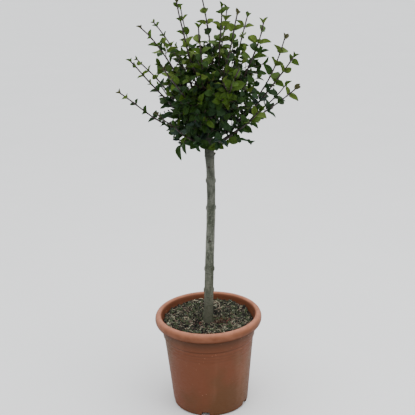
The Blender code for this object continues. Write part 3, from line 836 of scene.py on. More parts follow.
@dataclass
class Pot:
    """Moulded pot: thick rolled rim, band, step, tapering body, and a drained standing ring.

    The pairs of lip_hollow, lip_tuck, step_edge and ridge_section are places of its half section,
    outwards and upwards from the middle of the lip's foot, the band, the step and a ridge.
    """

    rim_radius: float = 0.140
    height: float = 0.254
    lip_width: float = 0.0185
    lip_height: float = 0.0275
    lip_arc: Pair = (178.0, -88.0)
    lip_steps: int = 30
    lip_hollow: tuple[Pair, ...] = ((-0.0016, 0.0012), (-0.0030, 0.0075), (-0.0046, 0.0105))
    lip_tuck: tuple[Pair, ...] = ((0.0016, 0.0097), (0.0003, 0.0065))
    lip_inside: Pair = (-0.0018, -0.0038)
    wall: float = 0.003
    wall_top: float = 0.230
    wall_steps: int = 8
    band_radius: float = 0.1215
    step_z: float = 0.195
    step_edge: tuple[Pair, ...] = ((0.0032, 0.0040), (0.0030, 0.0012), (0.0024, 0.0001), (0.0006, -0.0006))
    step_foot: float = 0.002
    body_top_radius: float = 0.1178
    body_foot_radius: float = 0.1000
    ridge_heights: Triple = (0.1835, 0.1750, 0.1665)
    ridge_section: tuple[Pair, ...] = (
        (0.0, 0.0018), (0.00028, 0.0007), (0.00035, 0.0), (0.00028, -0.0007), (0.0, -0.0018),
    )
    plain_heights: Pair = (0.155, 0.010)
    body_steps: int = 9
    foot_rounding: float = 0.007
    floor_z: float = 0.0155
    channel_radii: Pair = (0.070, 0.086)
    channel_depth: float = 0.0125
    draft: float = 0.001
    segments: int = 180
    notch_count: int = 5
    notch_first_azimuth: float = 261.5
    notch_width: float = 0.028
    notch_top_share: float = 0.68
    notch_length: float = 0.030
    notch_lap: float = 0.004
    notch_rise: float = 0.97
    drain_radius: float = 0.0045
    drain_sides: int = 24
    sharp: float = 32.0

    def outer_radius(self, z: float) -> float:
        """Radius of the body's outside at a height."""
        share = (z - self.foot_rounding) / (self.step_z - self.foot_rounding)
        return self.body_foot_radius + (self.body_top_radius - self.body_foot_radius) * share

    def lip(self) -> list[Pair]:
        """Rolled lip, from the inner wall over the top to the hollow under it.

        Returns:
            Radius and height of each place.
        """
        across, up = self.lip_width / 2, self.lip_height / 2
        middle, foot = self.rim_radius - across, self.height - self.lip_height
        angles = [math.radians(a) for a in evenly(*self.lip_arc, self.lip_steps)]
        roll = [(middle + across * math.cos(a), self.height - up + up * math.sin(a)) for a in angles]
        hollow = [(middle + r, foot + z) for r, z in self.lip_hollow]
        return roll + hollow + [(self.band_radius + r, foot + z) for r, z in self.lip_tuck]

    def body(self) -> list[Pair]:
        """Band, step, ridged body and rounded foot, from the rim down.

        Returns:
            Radius and height of each place.
        """
        band = [(self.band_radius, self.height - self.lip_height)]
        band += [(self.body_top_radius + r, self.step_z + z) for r, z in self.step_edge]
        below = self.step_z - self.step_foot
        band += [(self.outer_radius(below), below)]
        for ridge in self.ridge_heights:
            band += [(self.outer_radius(ridge + z) + r, ridge + z) for r, z in self.ridge_section]
        plain = [(self.outer_radius(z), z) for z in evenly(*self.plain_heights, self.body_steps)]
        rounding = self.foot_rounding
        middle = self.body_foot_radius - rounding
        turns = [math.radians(a) for a in evenly(0, -90, self.body_steps)]
        foot = [(middle + rounding * math.cos(a), rounding + rounding * math.sin(a)) for a in turns]
        return band + plain + foot

    def outline(self) -> list[Pair]:
        """Half section: floor, inner wall, lip, body, standing ring, channel and flat middle.

        Returns:
            Radius and height of each place.
        """
        inner, outer = self.channel_radii
        heights = evenly(self.floor_z, self.wall_top, self.wall_steps)
        inside = [(0.0, self.floor_z)] + [(self.outer_radius(z) - self.wall, z) for z in heights]
        inwards, down = self.lip_inside
        middle = self.height - self.lip_height / 2
        inside += [(self.rim_radius - self.lip_width + inwards, middle + down)]
        channel = [(outer, 0.0), (outer - self.draft, self.channel_depth)]
        channel += [(inner + self.draft, self.channel_depth), (inner, 0.0), (0.0, 0.0)]
        return inside + self.lip() + self.body() + channel

    def notch(self) -> bmesh.types.BMesh:
        """A wedge through the standing ring, at +X.

        Returns:
            The wedge.
        """
        wedge = bmesh.new()
        bmesh.ops.create_cube(wedge, size=1.0)
        for corner in wedge.verts:
            top = corner.co.z > 0
            corner.co.x = corner.co.x * self.notch_length + self.channel_radii[1] - self.notch_lap
            corner.co.x += self.notch_length / 2
            corner.co.y *= self.notch_width * (self.notch_top_share if top else 1.0)
            corner.co.z = self.channel_depth * (self.notch_rise if top else -1.0)
        return wedge

    def drain(self) -> bmesh.types.BMesh:
        """An upright hole through the channel's roof, at +X.

        Returns:
            The hole, as a shape.
        """
        hole = bmesh.new()
        bmesh.ops.create_cone(
            hole, cap_ends=True, segments=self.drain_sides, radius1=self.drain_radius,
            radius2=self.drain_radius, depth=self.floor_z * 2,
        )
        bmesh.ops.translate(hole, verts=hole.verts, vec=(sum(self.channel_radii) / 2, 0.0, self.floor_z))
        return hole

    def cutters(self) -> bpy.types.Collection:
        """Makes the notches and drain holes, all round the foot.

        Returns:
            The collection that they are in.
        """
        group = bpy.data.collections.new("pot_cutters")
        bpy.context.scene.collection.children.link(group)
        for i in range(self.notch_count):
            azimuth = self.notch_first_azimuth + 360.0 / self.notch_count * i
            for name, shape in (("notch", self.notch()), ("drain", self.drain())):
                mesh = bpy.data.meshes.new(name)
                shape.to_mesh(mesh)
                shape.free()
                cutter = bpy.data.objects.new(name, mesh)
                cutter.matrix_world = Matrix.Rotation(math.radians(azimuth), 4, "Z")
                group.objects.link(cutter)
        return group

    def build(self) -> None:
        """Makes the pot, with its foot notched and drained, and hands it over."""
        pile = Pile()
        pile.add(turned(self.outline(), self.segments))
        pot = pile.build("nursery_pot", [PotPlastic().material()], self.sharp)
        group = self.cutters()
        cut = pot.modifiers.new("Drainage", "BOOLEAN")
        cut.operation = "DIFFERENCE"
        cut.operand_type = "COLLECTION"
        cut.collection = group
        bpy.context.view_layer.update()
        graph = bpy.context.evaluated_depsgraph_get()
        mesh = bpy.data.meshes.new_from_object(pot.evaluated_get(graph))
        pot.modifiers.clear()
        pot.data = mesh
        for cutter in list(group.objects):
            bpy.data.objects.remove(cutter)
        bpy.data.collections.remove(group)
        mesh.shade_smooth()
        mesh.set_sharp_from_angle(angle=math.radians(self.sharp))
        hand_over(pot, Slot.POT, "pot")


@dataclass
class Compost:
    """Fill of the pot with a crumbly, uneven top round the trunk."""

    top_z: float = 0.229
    lump: float = 0.0045
    lump_scales: Pair = (45.0, 110.0)
    clod: float = 0.0055
    clod_scale: float = 95.0
    clod_shift: Triple = (3.0, 1.0, 7.0)
    clod_edge: float = 2.2
    clod_level: float = 0.55
    crumb: float = 0.0015
    crumb_scale: float = 420.0
    fine_crumb: float = 0.6
    fine_crumb_scale: float = 2.3
    heap: float = 0.0085
    heap_slant: float = 0.25
    heap_from: float = 0.030
    heap_to: float = 0.112
    bank: float = 0.0070
    bank_slant: float = 0.2
    bank_from: float = 0.055
    hollow_depth: float = 0.0045
    hollows: tuple[Triple, ...] = (
        (0.020, 0.045, 0.020), (-0.030, -0.018, 0.017), (-0.058, -0.034, 0.013),
    )
    seat_z: float = 0.2272
    seat_radius: float = 0.015
    seat_share: float = 0.5
    rim_radius: float = 0.1174
    foot_radius: float = 0.0974
    foot_z: float = 0.0158
    rings: int = 100
    segments: int = 300
    sharp: float = 80.0

    def ground(self, x: float, y: float) -> float:
        """Height of the top at a place.

        Args:
            x: The place's X.
            y: The place's Y.

        Returns:
            The height: lumps, clods, crumbs, hollows, a heap at the back and a bank at the left.
        """
        place = Vector((x, y, self.top_z))
        coarse, fine = (noise.noise(place * scale) for scale in self.lump_scales)
        fine_crumbs = self.fine_crumb * noise.noise(place * self.crumb_scale * self.fine_crumb_scale)
        crumbs = noise.noise(place * self.crumb_scale) + fine_crumbs
        nearest, second, *_ = noise.voronoi(place * self.clod_scale + Vector(self.clod_shift))[0]
        clods = min(1.0, (second - nearest) * self.clod_edge) - self.clod_level
        share = held(math.hypot(x, y) / self.seat_radius - self.seat_share)
        back = smooth((y + self.heap_slant * x - self.heap_from) / (self.heap_to - self.heap_from))
        left = smooth((self.bank_slant * y - x - self.bank_from) / (self.heap_to - self.bank_from))
        level = self.seat_z + (self.top_z - self.seat_z) * share
        level += max(self.heap * back, self.bank * left) - self.hollow_depth * self.hollowness(x, y)
        return level + share * (self.lump * (coarse + fine / 2) + self.clod * clods) + self.crumb * crumbs

    def hollowness(self, x: float, y: float) -> float:
        """How deep in a hollow a place lies, from 0 outside to 1 in the middle of one."""
        return max(math.exp(-(((x - a) ** 2 + (y - b) ** 2) / radius**2)) for a, b, radius in self.hollows)

    def build(self) -> None:
        """Makes the fill and hands it over."""
        top = [(r, self.top_z) for r in evenly(self.rim_radius / self.rings, self.rim_radius, self.rings)]
        profile = [(0.0, self.top_z), *top, (self.foot_radius, self.foot_z), (0.0, self.foot_z)]
        shape = turned(profile, self.segments)
        for corner in shape.corners:
            if corner[2] > self.top_z / 2:
                corner[2] = self.ground(corner[0], corner[1])
        pile = Pile()
        pile.add(shape)
        hand_over(pile.build("compost_fill", [Earth().material()], self.sharp), Slot.COMPOST, "compost")


class Bit(Enum):
    """Kinds of small things that lie on the compost, with how many there are of each."""

    CRUMB = 1000
    MOSS = 800
    FLAKE = 60
    STRAW = 1900


SCRAP_TONES = (1.35, 0.65)
SCRAP_LOOK = {"grain": Grain(700.0), "relief": 0.0004, "roughness": 0.85}


class Scrap(Enum):
    """Finishes of the small things, each with its colour."""

    PALE_STRAW = linear(194, 188, 158)
    GREY_STRAW = linear(106, 112, 94)
    BROWN_BARK = linear(48, 36, 27)
    RED_BARK = linear(88, 46, 34)
    MOSS = linear(80, 92, 62)
    DARK_CRUMBS = linear(12, 11, 8)
    ROSY_STRAW = linear(146, 124, 108)

    def finish(self) -> TwoTone:
        """The finish, speckled lighter and darker."""
        tones = (scaled(self.value, tone) for tone in SCRAP_TONES)
        return TwoTone(f"litter_{self.name.lower()}", *tones, **SCRAP_LOOK)


Mix = tuple[tuple[Scrap, int], ...]


@dataclass
class Litter:
    """Chopped straw, bark crumbs, moss tufts and leaf flakes on the compost.

    A mix says how many parts there are of each finish.
    """

    compost: Compost
    blade: Blade
    reach: float = 0.1130
    overhang: float = 0.002
    bare_radius: float = 0.0135
    patch_scale: float = 62.0
    patch_z: float = 0.5
    patch_edge: float = -0.04
    stray_share: float = 0.15
    hollow_share: float = 0.85
    seed: int = 71
    sharp: float = 50.0
    red_middle: Pair = (0.034, 0.000)
    red_radius: float = 0.024
    red_share: float = 0.75
    red_mix: Mix = ((Scrap.BROWN_BARK, 1), (Scrap.RED_BARK, 2), (Scrap.DARK_CRUMBS, 1))
    straw_length: Pair = (0.003, 0.013)
    straw_radius: Pair = (0.00022, 0.00050)
    straw_dip: float = 9.0
    straw_bend: Pair = (0.1, 0.5)
    straw_lift: float = 0.6
    straw_taper: tuple[float, ...] = (0.8, 1.0, 1.0, 0.9, 0.6)
    straw_mix: Mix = (
        (Scrap.PALE_STRAW, 2), (Scrap.ROSY_STRAW, 3), (Scrap.GREY_STRAW, 1), (Scrap.BROWN_BARK, 2),
        (Scrap.DARK_CRUMBS, 2),
    )
    crumb_radius: Pair = (0.0008, 0.0025)
    crumb_lift: float = 0.35
    crumb_sizes: tuple[Pair, Pair, Pair] = ((0.7, 1.5), (0.6, 1.0), (0.35, 0.7))
    crumb_tilt: float = 0.4
    crumb_edges: Pair = (0.75, 1.2)
    crumb_mix: Mix = ((Scrap.BROWN_BARK, 2), (Scrap.DARK_CRUMBS, 3), (Scrap.GREY_STRAW, 1))
    moss_depth: float = 0.0004
    moss_shoots: tuple[int, int] = (4, 7)
    moss_height: Pair = (0.0022, 0.0050)
    moss_lean: Pair = (25.0, 80.0)
    moss_spread: float = 0.0012
    moss_knee: float = 0.55
    moss_rise: float = 0.2
    moss_radii: Triple = (0.00055, 0.0005, 0.0001)
    moss_mix: Mix = ((Scrap.MOSS, 3), (Scrap.GREY_STRAW, 1))
    flake_length: Pair = (0.006, 0.013)
    flake_lift: float = 0.0018
    flake_tilt: float = 0.3
    flake_width: float = 0.5
    flake_mix: Mix = ((Scrap.GREY_STRAW, 1), (Scrap.BROWN_BARK, 2), (Scrap.RED_BARK, 1))

    def __post_init__(self) -> None:
        """Starts the source of chance and an empty pile."""
        self.rng = random.Random(self.seed)
        self.pile = Pile()

    def spot(self, lift: float, patch: float = 0.0) -> Vector:
        """A place on the compost.

        Args:
            lift: How far over the ground.
            patch: 1 or -1 to gather in some patches or between them, 0 for anywhere.

        Returns:
            The place.
        """
        while True:
            reach = math.sqrt(self.rng.uniform((self.bare_radius / self.reach) ** 2, 1.0)) * self.reach
            azimuth = self.rng.uniform(0.0, FULL_TURN)
            x, y = reach * math.cos(azimuth), reach * math.sin(azimuth)
            cloud = noise.noise(Vector((x, y, self.patch_z)) * self.patch_scale)
            if self.rng.random() < self.hollow_share * self.compost.hollowness(x, y):
                continue
            if patch == 0.0 or cloud * patch > self.patch_edge or self.rng.random() < self.stray_share:
                return Vector((x, y, self.compost.ground(x, y) + lift))

    def drawn(self, mix: Mix) -> int:
        """Draws a finish from a mix, by its place in the list of materials."""
        order = list(Scrap)
        return self.rng.choice([order.index(scrap) for scrap, parts in mix for _ in range(parts)])

    def tint(self, place: Vector, usual: Mix) -> int:
        """Draws a finish, redder in the patch beside the trunk.

        Args:
            place: Where the bit lies.
            usual: Finishes to draw from elsewhere.

        Returns:
            The finish's place in the list of materials.
        """
        away = math.hypot(place.x - self.red_middle[0], place.y - self.red_middle[1])
        if away < self.red_radius and self.rng.random() < self.red_share:
            return self.drawn(self.red_mix)
        return self.drawn(usual)

    def thrown(self, tilt: float, axis: str) -> Matrix:
        """A turn to any side after a chance tilt, in radians, round an axis."""
        turn = Matrix.Rotation(self.rng.uniform(0, FULL_TURN), 4, "Z")
        return turn @ Matrix.Rotation(self.rng.gauss(0, tilt), 4, axis)

    def kept_over(self, place: Vector, lift: float) -> Vector:
        """Raises a place that would lie under the ground, and keeps it inside the pot.

        Args:
            place: The place.
            lift: How far over the ground it has to be.

        Returns:
            The place, raised if need be.
        """
        across = Vector((place.x, place.y))
        widest = self.reach + self.overhang
        if across.length > widest:
            across *= widest / across.length
        floor = self.compost.ground(across.x, across.y) + lift
        return Vector((across.x, across.y, max(place.z, floor)))

    def straw(self) -> None:
        """Adds a thin bent stalk that lies on the compost."""
        rng = self.rng
        radius = rng.uniform(*self.straw_radius)
        middle = self.spot(radius, 1.0)
        heading = direction(rng.uniform(0, 360), rng.gauss(0, self.straw_dip))
        half = heading * rng.uniform(*self.straw_length) / 2
        bend = side_of(half.normalized(), rng.uniform(0, FULL_TURN)) * half.length
        bend *= rng.uniform(*self.straw_bend)
        steps = evenly(-1.0, 1.0, len(self.straw_taper))
        points = [middle + half * t + bend * (1 - t * t) / 2 for t in steps]
        points = [self.kept_over(p, radius * self.straw_lift) for p in points]
        shape = tube(points, [radius * share for share in self.straw_taper], 4)
        self.pile.add(shape.finished_as(self.tint(middle, self.straw_mix)))

    def crumb(self) -> None:
        """Adds an angular bit of bark."""
        rng = self.rng
        radius = rng.uniform(*self.crumb_radius)
        middle = self.spot(radius * self.crumb_lift)
        lump = bmesh.new()
        bmesh.ops.create_icosphere(lump, subdivisions=1, radius=radius)
        squash = Matrix.Diagonal([rng.uniform(*sizes) for sizes in self.crumb_sizes])
        turn = self.thrown(self.crumb_tilt, "X").to_3x3() @ squash
        corners = np.array([middle + turn @ (v.co * rng.uniform(*self.crumb_edges)) for v in lump.verts])
        faces = np.array([[v.index for v in face.verts] + [-1] for face in lump.faces])
        lump.free()
        chart, slots = np.zeros((len(corners), 2)), np.zeros(len(faces), int)
        shape = Shape(corners, faces, slots, chart)
        self.pile.add(shape.finished_as(self.tint(middle, self.crumb_mix)))

    def tuft(self) -> None:
        """Adds a few short moss shoots from one foot."""
        rng = self.rng
        foot = self.spot(-self.moss_depth, -1.0)
        slot = self.drawn(self.moss_mix)
        for _ in range(rng.randint(*self.moss_shoots)):
            height = rng.uniform(*self.moss_height)
            lean = direction(rng.uniform(0, 360), rng.uniform(*self.moss_lean)) * height
            start = foot + Vector((rng.gauss(0, self.moss_spread), rng.gauss(0, self.moss_spread), 0.0))
            points = [start, start + lean * self.moss_knee, start + lean + UP * height * self.moss_rise]
            self.pile.add(tube(points, list(self.moss_radii), 3).finished_as(slot))

    def flake(self) -> None:
        """Adds a dry curled bit of leaf."""
        length = self.rng.uniform(*self.flake_length)
        place = Matrix.Translation(self.spot(self.flake_lift)) @ self.thrown(self.flake_tilt, "Y")
        size = Matrix.Diagonal((length, length * self.flake_width, length, 1.0))
        shape = self.blade.shape(0, 0).moved(place @ size)
        self.pile.add(shape.finished_as(self.drawn(self.flake_mix)))

    def build(self) -> None:
        """Scatters everything, joined into one piece, and hands it over."""
        adders = {Bit.CRUMB: self.crumb, Bit.MOSS: self.tuft, Bit.FLAKE: self.flake, Bit.STRAW: self.straw}
        for bit in Bit:
            for _ in range(bit.value):
                adders[bit]()
        finishes = [scrap.finish().material() for scrap in Scrap]
        hand_over(self.pile.build("compost_litter", finishes, self.sharp), Slot.COMPOST)


@dataclass(frozen=True)
class Scar:
    """A mark on the stem where a bud or a side shoot was.

    Attributes:
        z: Its height.
        azimuth: Which way it faces, in degrees.
        radius: Its size.
        rise: How far it stands out of the bark.
        pit: How deep its middle is.
    """

    z: float
    azimuth: float
    radius: float
    rise: float
    pit: float


@dataclass(frozen=True)
class Mark:
    """A soft round mark on the bark.

    Attributes:
        z: Its height.
        turn: Its angle round the trunk, in radians.
        tall: Half its height.
        wide: Half its width.
        rise: How far its middle stands out.
    """

    z: float
    turn: float
    tall: float
    wide: float
    rise: float


@dataclass
class Stem:
    """The bare trunk: root flare, slow taper, lean and bow, bud scars, graft and pruned stub.

    Pairs of swells are a height and a scale. Rows of scar_parts are a height, a width and how low it
    lies in radii of the scar, then its shares of the rise and the pit. Rows of graft_folds are how
    far below the union, a rise and a width.
    """

    seat_z: float = 0.2272
    gap: float = 0.0003
    head_z: float = 0.702
    top_z: float = 0.736
    lean: float = 0.0145
    bow: float = 0.006
    foot_radius: float = 0.0122
    taper: float = 0.0017
    flare: float = 0.0026
    flare_height: float = 0.012
    graft_z: float = 0.682
    graft_swelling: float = 0.0018
    graft_length: float = 0.018
    graft_folds: tuple[Triple, Triple] = ((0.0, 0.0007, 0.0016), (0.0032, -0.0006, 0.0013))
    union_z: float = 0.678
    union_wave: float = 0.0022
    union_turn: float = 0.7
    dome_height: float = 0.0108
    dome_steps: tuple[float, ...] = (0.2, 0.4, 0.58, 0.74, 0.87, 0.96, 1.0)
    dome_flat_share: float = 0.35
    rings: int = 640
    sides: int = 84
    swells: tuple[Pair, Pair] = ((0.00070, 95.0), (0.00030, 420.0))
    swell_squeeze: float = 0.25
    grit: Pair = (0.00012, 900.0)
    fading: float = 0.004
    lenticels: int = 420
    lenticel_tall: Pair = (0.0004, 0.0007)
    lenticel_wide: Pair = (0.0008, 0.0018)
    lenticel_rise: Pair = (0.00015, 0.00035)
    seed: int = 5
    knots: tuple[Pair, ...] = (
        (0.318, 4), (0.377, -6), (0.456, 82), (0.543, 3), (0.614, -4), (0.650, 70),
    )
    knot_radius: float = 0.0046
    knot_rise: float = 0.0027
    knot_pit: float = 0.0009
    pruned: tuple[Scar, ...] = (
        Scar(0.650, 297.0, 0.0026, 0.0007, 0.0016),
        Scar(0.462, 262.0, 0.0024, 0.0008, 0.0014),
        Scar(0.568, 215.0, 0.0018, 0.0005, 0.0008),
        Scar(0.404, 120.0, 0.0022, 0.0006, 0.0010),
    )
    scar_parts: tuple[tuple[float, ...], ...] = (
        (1.0, 1.15, 0.0, 1.0, 0.0), (0.42, 0.5, 0.0, 0.0, -1.0), (0.3, 1.1, 1.05, 0.35, 0.0),
    )
    tissue_size: Pair = (0.5, 0.6)
    tissue_from: float = 0.35
    mark_reach: float = 3.0
    stub_z: float = 0.680
    stub_radius: float = 0.0036
    stub_foot_radius: float = 0.0043
    stub_length: float = 0.013
    stub_rise: float = 62.0
    stub_foot_share: float = 0.55
    stub_steps: int = 14
    stub_sides: int = 22
    stub_rings: Pair = (0.06, 9.0)
    stub_end: Pair = (0.0002, 0.86)
    cut_wood: TwoTone = TwoTone("cut_wood", linear(160, 140, 105), linear(95, 78, 55))
    tissue: TwoTone = TwoTone("scar_tissue", linear(52, 44, 34), linear(24, 20, 15))

    def middle(self, z: float) -> Vector:
        """Middle of the trunk at a height: it leans right and bows a little."""
        share = held((z - self.seat_z) / (self.head_z - self.seat_z))
        return Vector((self.lean * share + self.bow * math.sin(math.pi * share * share), 0.0, z))

    def radius(self, z: float) -> float:
        """Plain radius of the trunk at a height.

        Args:
            z: The height.

        Returns:
            The radius.
        """
        share = (z - self.seat_z) / (self.head_z - self.seat_z)
        radius = self.foot_radius - self.taper * min(share, 1.0)
        radius += self.flare * math.exp(-(z - self.seat_z) / self.flare_height)
        radius += self.graft_swelling * math.exp(-(((z - self.graft_z) / self.graft_length) ** 2))
        dome = max(0.0, (z - (self.top_z - self.dome_height)) / self.dome_height)
        return radius * max(self.dome_flat_share, math.sqrt(max(0.0, 1.0 - dome * dome)))

    def scars(self) -> list[Scar]:
        """The marks of pruned side shoots, and bud scars in opposite pairs."""
        sizes = (self.knot_radius, self.knot_rise, self.knot_pit)
        return [*self.pruned, *(Scar(z, a + turn, *sizes) for z, a in self.knots for turn in (0.0, 180.0))]

    def marks(self) -> list[Mark]:
        """Lenticels by chance, and the parts of every scar.

        Returns:
            The marks, in the order that they are pressed.
        """
        rng = random.Random(self.seed)
        found = []
        for _ in range(self.lenticels):
            z, turn = rng.uniform(self.seat_z, self.top_z), rng.uniform(0, FULL_TURN)
            sizes = (self.lenticel_tall, self.lenticel_wide, self.lenticel_rise)
            found.append(Mark(z, turn, *(rng.uniform(*size) for size in sizes)))
        for scar in self.scars():
            for tall, wide, low, rise, pit in self.scar_parts:
                z, turn = scar.z - scar.radius * low, math.radians(scar.azimuth)
                height = scar.rise * rise + scar.pit * pit
                found.append(Mark(z, turn, scar.radius * tall, scar.radius * wide, height))
        return found

    def relief(self, heights: np.ndarray, turns: np.ndarray) -> tuple[np.ndarray, np.ndarray]:
        """Relief of the bark over its plain radius.

        Args:
            heights: Height of each ring.
            turns: Angle of each side, in radians.

        Returns:
            How far each corner stands out, and how dark each is with old scar tissue.
        """
        out = np.zeros((len(heights), len(turns)))
        dark = np.zeros_like(out)
        girth = self.foot_radius
        for i, z in enumerate(heights):
            for j, turn in enumerate(turns):
                spot = Vector((math.cos(turn) * girth, math.sin(turn) * girth, z))
                drawn_out = Vector((spot.x, spot.y, z * self.swell_squeeze))
                out[i, j] = sum(rise * noise.noise(drawn_out * scale) for rise, scale in self.swells)
                out[i, j] += self.grit[0] * noise.noise(spot * self.grit[1])
        for mark in self.marks():
            self.press(mark, out, heights, turns)
        tall, wide = self.tissue_size
        for scar in self.scars():
            tissue = Mark(scar.z, math.radians(scar.azimuth), scar.radius * tall, scar.radius * wide, 1.0)
            self.press(tissue, dark, heights, turns)
        for j, turn in enumerate(turns):
            union = self.union_z + self.union_wave * math.sin(turn + self.union_turn)
            for below, rise, wide in self.graft_folds:
                out[:, j] += rise * np.exp(-(((heights - union + below) / wide) ** 2))
        above_cut = (heights - self.seat_z - self.gap) / self.fading
        return out * np.clip(above_cut, 0.0, 1.0)[:, None], dark

    def press(self, mark: Mark, grid: np.ndarray, heights: np.ndarray, turns: np.ndarray) -> None:
        """Adds a mark to a grid of values over the bark.

        Args:
            mark: The mark.
            grid: The values, one row for each ring.
            heights: Height of each ring.
            turns: Angle of each side, in radians.
        """
        near = np.abs(heights - mark.z) < mark.tall * self.mark_reach
        around = (turns - mark.turn + math.pi) % FULL_TURN - math.pi
        across = around * self.foot_radius / mark.wide
        up = (heights[near] - mark.z) / mark.tall
        grid[near] += mark.rise * np.exp(-(up[:, None] ** 2) - across[None, :] ** 2)

    def shaft(self) -> Shape:
        """The trunk with its relief, from its flat cut to its rounded head.

        Returns:
            The shape, with scar tissue as its third finish.
        """
        foot = self.seat_z + self.gap
        shoulder = self.top_z - self.dome_height
        dome = [shoulder + self.dome_height * s for s in self.dome_steps]
        heights = np.array(evenly(foot, shoulder, self.rings) + dome)
        turns = circle(self.sides)
        out, dark = self.relief(heights, turns)
        corners = np.empty((len(heights), self.sides, 3))
        for i, z in enumerate(heights):
            middle, radius = self.middle(z), self.radius(z) + out[i]
            corners[i, :, 0] = middle.x + radius * np.cos(turns)
            corners[i, :, 1] = middle.y + radius * np.sin(turns)
            corners[i, :, 2] = z
        ends = np.array([tuple(self.middle(foot)), (self.middle(self.top_z).x, 0.0, self.top_z)])
        faces, slots, chart = closed_rings(len(heights), self.sides)
        cells = (len(heights) - 1) * self.sides
        slots[:cells] = np.where(dark[:-1].ravel() > self.tissue_from, 2, 0)
        return Shape(np.concatenate((corners.reshape(-1, 3), ends)), faces, slots, chart)

    def stub(self) -> Shape:
        """The pruned side shoot, with a pale cut end.

        Returns:
            The shape, with cut wood as its second finish.
        """
        outside = self.radius(self.stub_z) * self.stub_foot_share
        foot = self.middle(self.stub_z) + Vector((outside, 0.0, -self.stub_length / 2))
        along = direction(0.0, self.stub_rise)
        steps = evenly(0.0, 1.0, self.stub_steps)
        points = [foot + along * self.stub_length * s for s in steps]
        radii = [self.stub_foot_radius + (self.stub_radius - self.stub_foot_radius) * s for s in steps]
        swelling, waves = self.stub_rings
        radii = [r * (1.0 + swelling * math.sin(waves * s)) for r, s in zip(radii, steps)]
        past, end_share = self.stub_end
        points, radii = [*points, points[-1] + along * past], [*radii, self.stub_radius * end_share]
        sides = self.stub_sides
        shape = tube(points, radii, sides)
        shape.slots[-sides:] = 1
        shape.slots[-3 * sides : -2 * sides] = 1
        return shape

    def build(self, bark: Material) -> None:
        """Makes the trunk and hands it over.

        Args:
            bark: Its bark.
        """
        pile = Pile()
        pile.add(self.shaft())
        pile.add(self.stub())
        materials = [bark, self.cut_wood.material(), self.tissue.material()]
        hand_over(pile.build("stem_bark", materials), Slot.BARK, "trunk")


class Tier(Enum):
    """Tiers of boughs: the height that their shoots spring from, and a bough's length beyond the bark."""

    LOW = (0.6985, 0.018)
    MID = (0.7045, 0.034)
    TOP = (0.7120, 0.030)

    @property
    def spring_z(self) -> float:
        """Height on the trunk's middle line that the tier's shoots spring from."""
        return self.value[0]

    @property
    def bough_length(self) -> float:
        """Length of a bough beyond the bark."""
        return self.value[1]


@dataclass(frozen=True)
class Shoot:
    """A long shoot, by where its tip lies from where its tier springs.

    Attributes:
        azimuth: Degrees from +X, counter-clockwise from above.
        elevation: Degrees above the ground.
        reach: Distance of the tip.
        bend: How far its middle hangs outwards and down, as a share of the reach.
    """

    azimuth: float
    elevation: float
    reach: float
    bend: float


@dataclass(frozen=True)
class Mass:
    """A bough with the shoots that grow on from it: the first carries on, the others fork from it."""

    name: str
    tier: Tier
    shoots: tuple[Shoot, ...]


MASSES = (
    Mass("low_right", Tier.LOW, (
        Shoot(0, 33, 0.256, 0.02), Shoot(14, 35, 0.246, 0.04), Shoot(344, 12, 0.104, 0.02))),
    Mass("low_back_right", Tier.LOW, (
        Shoot(58, 34, 0.246, 0.04), Shoot(42, 19, 0.108, 0.02), Shoot(76, 23, 0.112, 0.02))),
    Mass("low_back_left", Tier.LOW, (
        Shoot(126, 32, 0.250, 0.03), Shoot(106, 21, 0.110, 0.02), Shoot(140, 19, 0.108, 0.02))),
    Mass("low_left", Tier.LOW, (
        Shoot(180, 34, 0.258, 0.03), Shoot(164, 23, 0.110, 0.02), Shoot(196, 2, 0.094, -0.06))),
    Mass("low_front_left", Tier.LOW, (
        Shoot(236, 31, 0.240, 0.03), Shoot(222, 21, 0.106, 0.02), Shoot(256, 19, 0.110, 0.02))),
    Mass("low_front_right", Tier.LOW, (
        Shoot(304, 31, 0.242, 0.04), Shoot(284, 21, 0.112, 0.02), Shoot(318, 19, 0.106, 0.02))),
    Mass("mid_right", Tier.MID, (
        Shoot(352, 46, 0.301, 0.05), Shoot(12, 52, 0.319, 0.08))),
    Mass("mid_back_right", Tier.MID, (
        Shoot(63, 69, 0.340, 0.00), Shoot(39, 66, 0.332, 0.04), Shoot(66, 51, 0.290, 0.03))),
    Mass("mid_back_left", Tier.MID, (
        Shoot(116, 67, 0.349, 0.00), Shoot(145, 62, 0.334, -0.06), Shoot(114, 50, 0.292, 0.02))),
    Mass("mid_left", Tier.MID, (
        Shoot(192, 50, 0.286, 0.00), Shoot(158, 48, 0.280, -0.04), Shoot(205, 61, 0.342, -0.10))),
    Mass("mid_front_left", Tier.MID, (
        Shoot(262, 69, 0.324, 0.00), Shoot(238, 50, 0.280, 0.03))),
    Mass("mid_front_right", Tier.MID, (
        Shoot(301, 67, 0.357, 0.00), Shoot(329, 63, 0.341, 0.07), Shoot(294, 50, 0.280, 0.02))),
    Mass("top", Tier.TOP, (
        Shoot(180, 89, 0.347, -0.05), Shoot(307, 79, 0.338, 0.03), Shoot(222, 76, 0.357, 0.05))),
)


def bent_path(start: Vector, end: Vector, sag: Vector, count: int) -> list[Vector]:
    """Places along a parabola, whose middle is moved from the straight by the sag."""
    return [start.lerp(end, t) + sag * (4 * t * (1 - t)) for t in evenly(0.0, 1.0, count)]


def path_length(points: list[Vector]) -> float:
    """Length of a path through the places."""
    return sum((b - a).length for a, b in zip(points, points[1:]))


def along_path(points: list[Vector], distance: float) -> tuple[Vector, Vector]:
    """The place at a distance along a path, and the path's direction there.

    Args:
        points: Places along the path.
        distance: The distance.

    Returns:
        The place and the direction.
    """
    left = distance
    for start, end in zip(points, points[1:]):
        step = (end - start).length
        if left <= step or end is points[-1]:
            heading = (end - start).normalized()
            return start + heading * min(left, step), heading
        left -= step
    return points[-1], (points[-1] - points[-2]).normalized()


